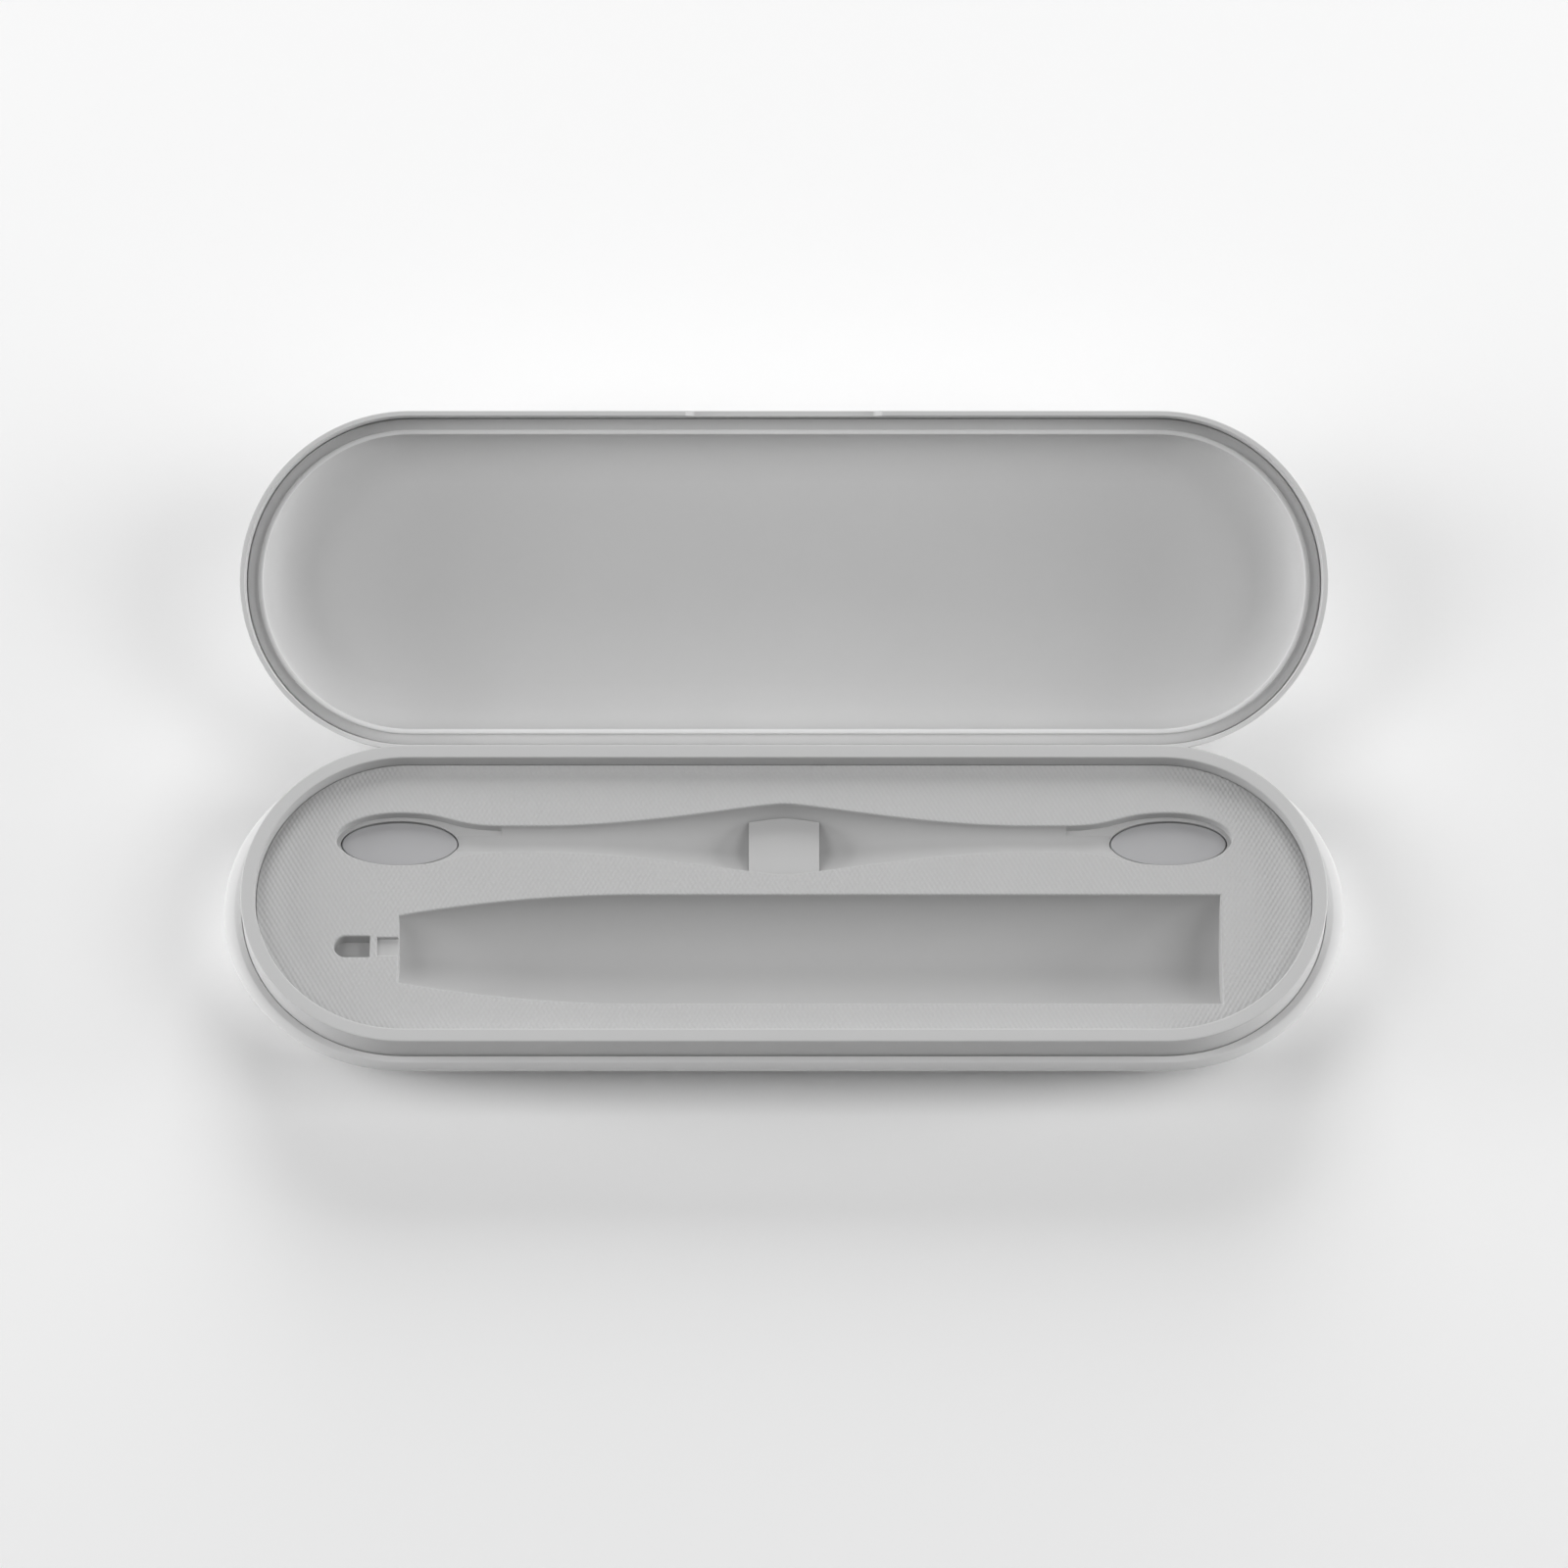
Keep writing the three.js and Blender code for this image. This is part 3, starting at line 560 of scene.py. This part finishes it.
def soften(piece, width):
    """Bevels the sharp edges of a piece."""
    modifier = piece.modifiers.new("edges", "BEVEL")
    modifier.width = width
    modifier.segments = BEVEL_SEGMENTS
    modifier.limit_method = "ANGLE"
    modifier.angle_limit = BEVEL_CORNER
    bake(piece)
    return piece


def shade(piece):
    """Smooth shading that stays crisp at real corners and level on flat faces."""
    for face in piece.data.polygons:
        face.use_smooth = True
    piece.data.set_sharp_from_angle(angle=SMOOTH_CORNER)
    modifier = piece.modifiers.new("normals", "WEIGHTED_NORMAL")
    modifier.keep_sharp = True
    bake(piece)


def block(name, low, high):
    low, high = Vector(low), Vector(high)
    rings = []
    for height in (low.z, high.z):
        corners = ((low.x, low.y), (high.x, low.y), (high.x, high.y), (low.x, high.y))
        rings.append([Vector((x, y, height)) for x, y in corners])
    return skin(name, rings)


def turned(name, stations, y, z, ceiling=None, segments=ROUND_SEGMENTS):
    """Round body along X from stations of (radius, x), cut flat at ceiling if one is given."""
    rings = []
    for radius, x in stations:
        ring = []
        for step in range(segments):
            angle = 2 * math.pi * step / segments
            height = z + radius * math.sin(angle)
            if ceiling is not None and height > ceiling:
                height = ceiling + (height - ceiling) * FLATTENED
            ring.append(Vector((x, y + radius * math.cos(angle), height)))
        rings.append(ring)
    return skin(name, rings)


def prism(name, plan, levels):
    """Upright body from plan(grow), a list of (x, y), at each (grow, height) of levels."""
    rings = []
    for grow, height in levels:
        rings.append([Vector((x, y, height)) for x, y in plan(grow)])
    return skin(name, rings)


def rim_levels(top, radius, steps=RIM_STEPS):
    """Levels of a cutter that rounds the rim of a hole."""
    levels = []
    for step in range(steps + 1):
        angle = math.pi / 2 * step / steps
        levels.append((radius * (1 - math.cos(angle)), top - radius + radius * math.sin(angle)))
    levels.append((radius, top + PAST))
    return levels


def wear(piece, node, body, slot):
    """Gives a finished piece its shading, body, slot and material in place of a CAD node."""
    shade(piece)
    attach(piece, body)
    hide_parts(node)
    piece.data.materials.clear()
    piece.data.materials.append(finish_of(slot))


def swing_open(piece):
    """Turns a piece that was drawn on the shut lid into the lid's open place."""
    back = Matrix.Translation(-HINGE_POINT)
    turn = Matrix.Rotation(-OPENING, 4, "X")
    piece.data.transform(Matrix.Translation(HINGE_POINT) @ turn @ back)


# ------------------------------------------------------------------ outlines of the beds


def handle_stations(grow):
    """(radius, x) along the handle bed: a taper at the left, then straight."""
    taper = interpolate_bezier(
        Vector((HANDLE_LEFT - grow, HANDLE_TIP + grow)),
        Vector((HANDLE_LEFT + TIP_PULL_ALONG, HANDLE_TIP + grow + TIP_PULL_ACROSS)),
        Vector((HANDLE_TAPER_END - TAPER_BLEND, HANDLE_RADIUS + grow)),
        Vector((HANDLE_TAPER_END, HANDLE_RADIUS + grow)),
        CURVE_STEPS)
    return [(point.y, point.x) for point in taper] + [(HANDLE_RADIUS + grow, HANDLE_RIGHT + grow)]


def head_half(grow):
    """(radius, x) along the right half of the brush-head bed, up to the throat."""
    curve = interpolate_bezier(
        Vector((0, HEAD_RADIUS + grow)),
        Vector((HEAD_BLEND, HEAD_RADIUS + grow)),
        Vector((NECK_X - NECK_BLEND, NECK_RADIUS + grow)),
        Vector((NECK_X, NECK_RADIUS + grow)),
        CURVE_STEPS)
    return [(point.y, point.x) for point in curve]


def head_stations(grow, end):
    """(radius, x) along both halves of the brush-head bed, out to x = end."""
    right = [*head_half(grow), (NECK_RADIUS + grow, end)]
    if end <= NECK_X:
        right.pop()
    return [(radius, -x) for radius, x in reversed(right[1:])] + right


def head_end(grow):
    """(x, half width) of one end of the brush-head bed, from the throat to the tip."""
    throat = interpolate_bezier(
        Vector((OVAL_X - OVAL_THROAT, NECK_RADIUS + grow)),
        Vector((OVAL_X - OVAL_THROAT / 2, NECK_RADIUS + grow)),
        Vector((OVAL_X - OVAL_THROAT / 2, OVAL_WIDTH + grow)),
        Vector((OVAL_X, OVAL_WIDTH + grow)),
        THROAT_STEPS)
    points = [(point.x, point.y) for point in throat]
    steps = CURVE_STEPS
    for step in range(1, steps + 1):
        angle = math.pi / 2 * (1 - step / steps)
        points.append((
            OVAL_X + (OVAL_LENGTH + grow) * math.cos(angle),
            (OVAL_WIDTH + grow) * math.sin(angle)))
    return points


def mirrored(half):
    """Closed plan from (x, half width) points that run from one tip to the other."""
    ends = {0, len(half) - 1}
    lower = [(x, -width) for place, (x, width) in enumerate(half) if width > AT_TIP or place not in ends]
    upper = [(x, width) for x, width in reversed(half) if width > AT_TIP]
    return lower + upper


def handle_plan(grow):
    half = [(x, radius) for radius, x in handle_stations(grow)]
    return [(x, HANDLE_Y + y) for x, y in mirrored(half)]


def head_plan(grow):
    right = [(x, radius) for radius, x in head_half(grow)] + head_end(grow)
    left = [(-x, width) for x, width in reversed(right[1:])]
    return [(x, HEAD_Y + y) for x, y in mirrored(left + right)]


def end_plan(side):
    def plan(grow):
        points = mirrored(head_end(grow))
        return [(side * x, HEAD_Y + y) for x, y in points]
    return plan


def window_plan(side):
    def plan(grow):
        points = []
        steps = OVAL_STEPS
        for step in range(steps):
            angle = 2 * math.pi * step / steps
            points.append((
                side * OVAL_X + (WINDOW_LENGTH + grow) * math.cos(angle),
                HEAD_Y + (WINDOW_WIDTH + grow) * math.sin(angle)))
        return points
    return plan


def slot_plan(grow):
    """Shaft slot: round at its left end, square at its right end."""
    right = HANDLE_LEFT - GROOVE_LENGTH - SLOT_BRIDGE
    radius = SLOT_WIDTH / 2
    centre = right - SLOT_LENGTH + radius
    points = [(right + grow, SLOT_Y - radius - grow), (right + grow, SLOT_Y + radius + grow)]
    steps = CURVE_STEPS
    for step in range(steps + 1):
        angle = math.pi / 2 + math.pi * step / steps
        points.append((
            centre + (radius + grow) * math.cos(angle),
            SLOT_Y + (radius + grow) * math.sin(angle)))
    return points


def groove_plan(grow):
    left = HANDLE_LEFT - GROOVE_LENGTH - grow
    right = HANDLE_LEFT + PAST
    low = SLOT_Y - GROOVE_WIDTH / 2 - grow
    high = SLOT_Y + GROOVE_WIDTH / 2 + grow
    return [(left, low), (right, low), (right, high), (left, high)]


# ------------------------------------------------------------------ operators: one for each piece or group


class CasePiece:
    """What all piece operators share."""

    bl_options = {"REGISTER", "UNDO"}

    def execute(self, context):
        self.build(context)
        return {"FINISHED"}


def leaf_span(side):
    low, high = (PIN_LOW.x, PIN_HIGH.x)
    return (low, high) if side > 0 else (-high, -low)


def hinge_relief(side, low, high):
    """Room in a back wall for one hinge leaf and its knuckles."""
    left, right = leaf_span(side)
    inner = OUTLINE_RADIUS - LEAF_THICKNESS - FIT
    room = block("relief", (left - FIT, inner, low), (right + FIT, HINGE_POINT.y + PAST, high))
    radius = KNUCKLE_RADIUS + FIT
    stations = [(radius, left - FIT), (radius, right + FIT)]
    barrel = turned("barrel", stations, HINGE_POINT.y, HINGE_POINT.z, segments=RELIEF_SEGMENTS)
    return room, barrel


def rounded_slot_rings(centre, half_width, half_height, depths, grow=0.0):
    """Rings of a slot with round ends, standing across Y at each depth."""
    rings = []
    radius = half_height + grow
    straight = half_width - half_height
    steps = SLOT_END_STEPS
    for y in depths:
        ring = []
        for side in (1, -1):
            for step in range(steps + 1):
                angle = side * math.pi * (step / steps - 0.5)
                ring.append(Vector((
                    centre.x + side * (straight + radius * math.cos(angle)), y,
                    centre.z + radius * math.sin(angle))))
        rings.append(ring)
    return rings


class SANITIZER_OT_base_shell(CasePiece, bpy.types.Operator):
    """Builds the outer shell of the base with its belly, ledge, hinge seats and socket opening"""

    bl_idname = "sanitizer.base_shell"
    bl_label = "Base shell"

    def build(self, context):
        belly = LEDGE_TOP + FIT / 2 - BELLY_DROP
        proud = SHELL_LOW.z
        stretch = BULGE_END - BULGE_SIDE
        side_curve = interpolate_bezier(
            Vector((-BULGE_SIDE, belly)),
            Vector((-BULGE_SIDE, belly - BELLY_TURN)),
            Vector((UNDERCUT - BULGE_SIDE - UNDERSIDE_RUN, proud)),
            Vector((UNDERCUT - BULGE_SIDE, proud)),
            SIDE_STEPS)
        under = [(point.x, point.y, stretch) for point in reversed(side_curve)]
        shoulder = []
        steps = EASE_STEPS
        for step in range(1, steps + 1):
            share = step / steps
            fullness = math.cos(math.pi / 2 * share) ** SHOULDER_FULLNESS
            height = belly + (LEDGE_TOP - belly) * share
            shoulder.append((-BULGE_SIDE * fullness, height, stretch * fullness))
        recess = OUTLINE_RADIUS - PAD_HIGH.y - FIT
        hollow = [
            (LEDGE_WIDTH + SNUG, LEDGE_TOP), (LEDGE_WIDTH + SNUG, SHELF_HEIGHT),
            *quarter((SHELF_WIDTH, SHELF_HEIGHT), (FLOOR_INSET, FLOOR_TOP)),
        ]
        profile = [(recess, PAD_HIGH.z + FIT), (recess, proud), *under, *shoulder, *hollow]
        shell = moulding("base_shell_moulding", profile, looks().fine_edge)
        cutters = []
        for _, side in SIDES:
            low = HINGE_POINT.z - KNUCKLE_RADIUS - LEAF_HEIGHT - 2 * FIT
            cutters += hinge_relief(side, low, HINGE_POINT.z + PAST)
        centre = (PORT_LOW + PORT_HIGH) / 2
        half_width = (PORT_HIGH.x - PORT_LOW.x) / 2 + FIT
        half_height = (PORT_HIGH.z - PORT_LOW.z) / 2 + FIT
        depths = (PORT_LOW.y - FIT, OUTLINE_RADIUS + PAST)
        cutters.append(skin("socket_room", rounded_slot_rings(centre, half_width, half_height, depths)))
        combine(shell, "DIFFERENCE", *cutters)
        wear(shell, "base_shell", "base", "shell")


class SANITIZER_OT_base_pad(CasePiece, bpy.types.Operator):
    """Builds the soft pad that the base stands on"""

    bl_idname = "sanitizer.base_pad"
    bl_label = "Base pad"

    def build(self, context):
        inset = OUTLINE_RADIUS - PAD_HIGH.y
        low, high = PAD_LOW.z, PAD_HIGH.z
        profile = [
            (inset + 3 * PAD_STEP, low + PAD_RELIEF), (inset + 2 * PAD_STEP, low + PAD_RELIEF),
            (inset + 2 * PAD_STEP, low), (inset, low), (inset, high), (inset + PAD_STEP, high),
        ]
        pad = moulding("base_pad_moulding", profile, looks().fine_edge)
        wear(pad, "base_pad", "base", "rubber")


class SANITIZER_OT_rim_collar(CasePiece, bpy.types.Operator):
    """Builds the collar that stands inside the ledge"""

    bl_idname = "sanitizer.rim_collar"
    bl_label = "Rim collar"

    def build(self, context):
        bottom = SHELF_HEIGHT + FIT
        inner = COLLAR_INSET + COLLAR_THICKNESS
        seat = TRAY_TOP - TRAY_THICKNESS - FIT
        profile = [
            (COLLAR_INSET, bottom), (COLLAR_INSET, COLLAR_TOP), (inner, COLLAR_TOP), (inner, seat),
            (inner + SEAT_WIDTH, seat), (inner + SEAT_WIDTH, seat - SEAT_DEPTH), (inner, bottom),
        ]
        collar = moulding("rim_collar_moulding", profile, looks().edge, closed=True)
        wear(collar, "rim_collar", "base", "collar")


class SANITIZER_OT_tray(CasePiece, bpy.types.Operator):
    """Builds the woven tray with its handle bed, shaft slot and brush-head bed"""

    bl_idname = "sanitizer.tray"
    bl_label = "Tray"

    def build(self, context):
        rim = rim_levels(TRAY_TOP, looks().edge)
        inset = OUTLINE_RADIUS - TRAY_HIGH.y - SNUG
        under = TRAY_TOP - TRAY_THICKNESS
        ceiling = TRAY_TOP - TRAY_THICKNESS / 2
        tray = moulding("tray_moulding", [
            (inset + PAST, under), (inset, under), (inset, TRAY_TOP), (inset + PAST, TRAY_TOP),
        ], looks().fine_edge)
        neck_end = OVAL_X - WINDOW_LENGTH
        tubs = [
            turned("handle_tub", handle_stations(TUB_WALL), HANDLE_Y, TRAY_TOP, ceiling),
            turned("head_tub", head_stations(TUB_WALL, neck_end + TUB_WALL), HEAD_Y, TRAY_TOP, ceiling),
            prism("slot_tub", slot_plan, [
                (TUB_WALL, TRAY_TOP - SLOT_DEPTH - TUB_WALL), (TUB_WALL, ceiling)]),
        ]
        seat = TRAY_TOP - OVAL_DEPTH
        window_seat = WINDOW_LOW.z - FIT
        for _, side in SIDES:
            tubs.append(prism("end_tub", end_plan(side), [
                (TUB_WALL, window_seat - WINDOW_SEAT), (TUB_WALL, ceiling)]))
        combine(tray, "UNION", *tubs)
        top = TRAY_TOP + PAST
        cutters = [
            turned("handle_bed", handle_stations(0.0), HANDLE_Y, TRAY_TOP),
            turned("head_bed", head_stations(0.0, neck_end), HEAD_Y, TRAY_TOP),
            prism("handle_rim", handle_plan, rim),
            prism("head_rim", head_plan, rim),
            prism("slot_bed", slot_plan, [(0.0, TRAY_TOP - SLOT_DEPTH), *rim]),
            prism("groove_bed", groove_plan, [(0.0, TRAY_TOP - GROOVE_DEPTH), *rim]),
        ]
        for _, side in SIDES:
            cutters.append(prism("end_bed", end_plan(side), [(0.0, seat), (0.0, top)]))
            cutters.append(prism("window_bed", window_plan(side), [(FIT, window_seat), (FIT, top)]))
            light_levels = [(-WINDOW_SEAT, 0.0), (-WINDOW_SEAT, top)]
            cutters.append(prism("light_way", window_plan(side), light_levels))
        for cutter in cutters:
            combine(tray, "DIFFERENCE", cutter)
        wear(tray, "tray", "base", "tray")


class SANITIZER_OT_head_divider(CasePiece, bpy.types.Operator):
    """Builds the block between the two brush-head wells"""

    bl_idname = "sanitizer.head_divider"
    bl_label = "Head divider"

    def build(self, context):
        divider = turned("head_divider_moulding", head_stations(-FIT, NECK_X), HEAD_Y, TRAY_TOP)
        low = (DIVIDER_LOW.x, HEAD_Y - HEAD_RADIUS, 0.0)
        high = (DIVIDER_HIGH.x, HEAD_Y + HEAD_RADIUS, DIVIDER_HIGH.z)
        combine(divider, "INTERSECT", block("divider_room", low, high))
        soften(divider, looks().edge)
        wear(divider, "head_divider", "base", "tray")


class SANITIZER_OT_windows(CasePiece, bpy.types.Operator):
    """Builds the oval lamp windows at both ends of the brush-head bed"""

    bl_idname = "sanitizer.windows"
    bl_label = "Lamp windows"

    def build(self, context):
        for word, side in SIDES:
            edge = looks().fine_edge
            levels = [(-edge, WINDOW_LOW.z), (0.0, WINDOW_LOW.z + edge)]
            for step in range(RIM_STEPS + 1):
                angle = math.pi / 2 * step / RIM_STEPS
                levels.append((
                    -edge * (1 - math.cos(angle)),
                    WINDOW_HIGH.z - edge + edge * math.sin(angle)))
            pane = prism(f"uv_window_{word}_pane", window_plan(side), levels)
            wear(pane, f"uv_window_{word}", "base", "window")


class SANITIZER_OT_lid_shell(CasePiece, bpy.types.Operator):
    """Builds the outer shell of the lid with its thumb scoop and hinge seats"""

    bl_idname = "sanitizer.lid_shell"
    bl_label = "Lid shell"

    def build(self, context):
        side_top = RIM + LID_SIDE
        outer = quarter((0.0, side_top), (LID_CROWN, LID_CROWN_TOP))
        inner = quarter((LID_WALL, side_top), (LID_WALL + LID_CROWN, LID_CROWN_TOP - LID_TOP))
        profile = [*reversed(outer), (0.0, RIM), (LID_WALL, RIM), *inner]
        shell = moulding("lid_shell_moulding", profile, looks().fine_edge)
        cutters = [self.scoop()]
        for _, side in SIDES:
            high = HINGE_POINT.z + KNUCKLE_RADIUS + LEAF_HEIGHT + 2 * FIT
            cutters += hinge_relief(side, HINGE_POINT.z - PAST, high)
        combine(shell, "DIFFERENCE", *cutters)
        swing_open(shell)
        wear(shell, "lid_shell", "lid", "shell")

    def scoop(self):
        """Cutter of the thumb scoop: a shallow dip with sloped ends along the front rim."""
        half = SCOOP_LENGTH / 2
        section = [(-half, -PAST), (half, -PAST), (half, 0.0)]
        steps = EASE_STEPS
        for step in range(1, steps + 1):
            share = step / steps
            section.append((half - SCOOP_SLOPE * share, SCOOP_DEPTH * (1 - math.cos(math.pi * share)) / 2))
        for step in range(steps, 0, -1):
            share = step / steps
            section.append((SCOOP_SLOPE * share - half, SCOOP_DEPTH * (1 - math.cos(math.pi * share)) / 2))
        section.append((-half, 0.0))
        rings = []
        for y in (-OUTLINE_RADIUS - PAST, -OUTLINE_RADIUS + PAST):
            rings.append([Vector((x, y, RIM + height)) for x, height in section])
        return skin("scoop", rings)


class SANITIZER_OT_lid_liner(CasePiece, bpy.types.Operator):
    """Builds the liner inside the lid and the seal round its mouth"""

    bl_idname = "sanitizer.lid_liner"
    bl_label = "Lid liner and seal"

    def build(self, context):
        face = RIM + REBATE_DEPTH
        floor = RIM + CAVITY_DEPTH
        outer_inset = CAVITY_INSET - LINER_WALL
        flange = LID_WALL + FIT - SNUG
        cavity = quarter((CAVITY_INSET, face), (CAVITY_INSET + CAVITY_ROUND, floor))
        back = quarter((outer_inset, face + LINER_WALL), (outer_inset + CAVITY_ROUND, floor + LINER_WALL))
        profile = [
            *reversed(cavity), (flange, face), (flange, face + LINER_WALL), *back,
        ]
        liner = moulding("lid_liner_moulding", profile, looks().edge)
        swing_open(liner)
        wear(liner, "lid_liner", "lid", "liner")
        low, high = COLLAR_TOP + FIT, face - FIT
        outer = CAVITY_INSET - SEAL_WIDTH
        seal = moulding("lid_seal_moulding", [
            (outer, low), (outer, high), (CAVITY_INSET, high), (CAVITY_INSET, low),
        ], SEAL_EDGE, closed=True)
        swing_open(seal)
        wear(seal, "lid_seal", "lid", "seal")


class SANITIZER_OT_hinges(CasePiece, bpy.types.Operator):
    """Builds the four hinge leaves with their knuckles"""

    bl_idname = "sanitizer.hinges"
    bl_label = "Hinges"

    def build(self, context):
        for word, side in SIDES:
            base_leaf = self.leaf(f"hinge_leaf_base_{word}_moulding", side, 0, -1)
            wear(base_leaf, f"hinge_leaf_base_{word}", "base", "shell")
            lid_leaf = self.leaf(f"hinge_leaf_lid_{word}_moulding", side, 1, 1)
            swing_open(lid_leaf)
            wear(lid_leaf, f"hinge_leaf_lid_{word}", "lid", "shell")

    def leaf(self, name, side, first, away):
        """Plate in the wall, with every second knuckle starting at first."""
        left, right = leaf_span(side)
        inner = OUTLINE_RADIUS - LEAF_THICKNESS
        near = HINGE_POINT.z + away * (KNUCKLE_RADIUS + FIT)
        far = near + away * LEAF_HEIGHT
        hook = HINGE_POINT.z + away * KNUCKLE_RADIUS * NECK_REACH
        plate = block(name, (left, inner, min(near, far)), (right, OUTLINE_RADIUS, max(near, far)))
        soften(plate, looks().fine_edge)
        pitch = (right - left) / KNUCKLES
        bore = (PIN_HIGH.z - PIN_LOW.z) / 2 + FIT / 4
        for place in range(first, KNUCKLES, 2):
            start = left + place * pitch + FIT / 2
            end = start + pitch - FIT
            tab_low = (start, inner, min(hook, near) - NECK_EXTRA)
            tab = block("tab", tab_low, (end, OUTLINE_RADIUS, max(hook, near)))
            barrel = turned(
                "knuckle", [(KNUCKLE_RADIUS, start), (KNUCKLE_RADIUS, end)],
                HINGE_POINT.y, HINGE_POINT.z, segments=KNUCKLE_SEGMENTS)
            combine(plate, "UNION", tab, barrel)
        stations = [(bore, left - PAST), (bore, right + PAST)]
        hole = turned("bore", stations, HINGE_POINT.y, HINGE_POINT.z, segments=BORE_SEGMENTS)
        return combine(plate, "DIFFERENCE", hole)


class SANITIZER_OT_charge_port(CasePiece, bpy.types.Operator):
    """Builds the charging socket in the back wall"""

    bl_idname = "sanitizer.charge_port"
    bl_label = "Charging socket"

    def build(self, context):
        centre = (PORT_LOW + PORT_HIGH) / 2
        half_width = (PORT_HIGH.x - PORT_LOW.x) / 2
        half_height = (PORT_HIGH.z - PORT_LOW.z) / 2
        port = skin("charge_port_shell", rounded_slot_rings(
            centre, half_width, half_height, (PORT_LOW.y, PORT_HIGH.y)))
        mouth = skin("mouth", rounded_slot_rings(
            centre, half_width, half_height, (PORT_LOW.y + PORT_BACK, PORT_HIGH.y + PAST), -PORT_WALL))
        combine(port, "DIFFERENCE", mouth)
        reach = Vector((half_width - TONGUE_INSET, 0.0, TONGUE_HALF))
        tongue = block(
            "tongue", (centre.x - reach.x, PORT_LOW.y + TONGUE_ROOT, centre.z - reach.z),
            (centre.x + reach.x, PORT_HIGH.y - TONGUE_SINK, centre.z + reach.z))
        combine(port, "UNION", tongue)
        wear(port, "charge_port", "base", "steel")


class SANITIZER_OT_inner_parts(CasePiece, bpy.types.Operator):
    """Gives the CAD nodes their materials, which the inner parts keep"""

    bl_idname = "sanitizer.inner_parts"
    bl_label = "Inner parts"

    def build(self, context):
        for entry in frame["record"]["subparts"]:
            node = frame["nodes"][entry["node"]]
            for material_slot in node.material_slots:
                material_slot.material = finish_of(entry["material_slot"])


class SANITIZER_OT_stage(CasePiece, bpy.types.Operator):
    """Sets up the pale floor, the soft lights and the camera"""

    bl_idname = "sanitizer.stage"
    bl_label = "Stage"

    def build(self, context):
        settings = context.scene.stage_looks
        self.floor()
        world = bpy.data.worlds.new("studio")
        world.use_nodes = True
        background = world.node_tree.nodes["Background"]
        background.inputs["Color"].default_value = (1.0, 1.0, 1.0, 1.0)
        background.inputs["Strength"].default_value = settings.ambient
        context.scene.world = world
        context.scene.view_settings.view_transform = "Standard"
        self.area("back_light", BACK_LIGHT, 1, settings.back_power)
        for word, side in SIDES:
            self.area(f"{word}_light", SIDE_LIGHT, side, settings.side_power)
            self.area(f"high_{word}_light", HIGH_LIGHT, side, settings.high_power)
        self.camera(settings)

    def floor(self):
        half = FLOOR_HALF
        work = bmesh.new()
        corners = ((-half, -half), (half, -half), (half, half), (-half, half))
        work.faces.new([work.verts.new((x, y, 0.0)) for x, y in corners])
        data = bpy.data.meshes.new("floor")
        work.to_mesh(data)
        work.free()
        plane = add_object("floor", data)
        finish = Finish("floor_paper")
        fibre = finish.noise(FIBRE, 3.0)
        colour = bpy.context.scene.case_colours.floor
        data.materials.append(finish.surface({
            "Base Color": finish.tint(colour, 0.99, fibre),
            "Roughness": 0.9,
            "Specular IOR Level": 0.1,
            "Normal": finish.bump(fibre, 0.002 * MM)}))

    def area(self, name, spot, side, power):
        """Soft square light of spot (place, size) on one side, aimed at the case."""
        (x, y, z), size = spot
        place = (side * x, y, z)
        data = bpy.data.lights.new(name, "AREA")
        data.shape = "SQUARE"
        data.size = size
        data.energy = power
        light = add_object(name, data)
        light.location = place
        light.rotation_euler = (-Vector(place)).to_track_quat("-Z", "Y").to_euler()

    def camera(self, settings):
        data = bpy.data.cameras.new("camera")
        data.lens = settings.lens
        data.clip_end = CAMERA_REACH
        camera = add_object("camera", data)
        aim = Vector(settings.aim)
        back = Vector((0.0, -math.cos(settings.elevation), math.sin(settings.elevation)))
        camera.location = aim + back * settings.distance
        camera.rotation_euler = (-back).to_track_quat("-Z", "Y").to_euler()
        bpy.context.scene.camera = camera


PIECES = (
    SANITIZER_OT_inner_parts,
    SANITIZER_OT_base_shell,
    SANITIZER_OT_base_pad,
    SANITIZER_OT_rim_collar,
    SANITIZER_OT_tray,
    SANITIZER_OT_head_divider,
    SANITIZER_OT_windows,
    SANITIZER_OT_charge_port,
    SANITIZER_OT_lid_shell,
    SANITIZER_OT_lid_liner,
    SANITIZER_OT_hinges,
    SANITIZER_OT_stage,
)


class SANITIZER_PT_case(bpy.types.Panel):
    """Lists the pieces of the case and their settings"""

    bl_label = "Sanitizer case"
    bl_space_type = "VIEW_3D"
    bl_region_type = "UI"
    bl_category = "Sanitizer case"

    def draw(self, context):
        for piece in PIECES:
            self.layout.operator(piece.bl_idname)
        for group in (context.scene.case_looks, context.scene.case_colours, context.scene.stage_looks):
            column = self.layout.column()
            for name in group.bl_rna.properties.keys():
                if name not in {"rna_type", "name"}:
                    column.prop(group, name)


GROUPS = {"case_looks": CaseLooks, "case_colours": CaseColours, "stage_looks": StageLooks}
CLASSES = (*GROUPS.values(), *PIECES, SANITIZER_PT_case)


def register():
    for item in CLASSES:
        bpy.utils.register_class(item)
    for name, group in GROUPS.items():
        setattr(bpy.types.Scene, name, bpy.props.PointerProperty(type=group))


def unregister():
    for name in GROUPS:
        delattr(bpy.types.Scene, name)
    for item in reversed(CLASSES):
        bpy.utils.unregister_class(item)


def main():
    register()
    for piece in PIECES:
        group, name = piece.bl_idname.split(".")
        getattr(getattr(bpy.ops, group), name)()


if __name__ == "__main__":
    main()
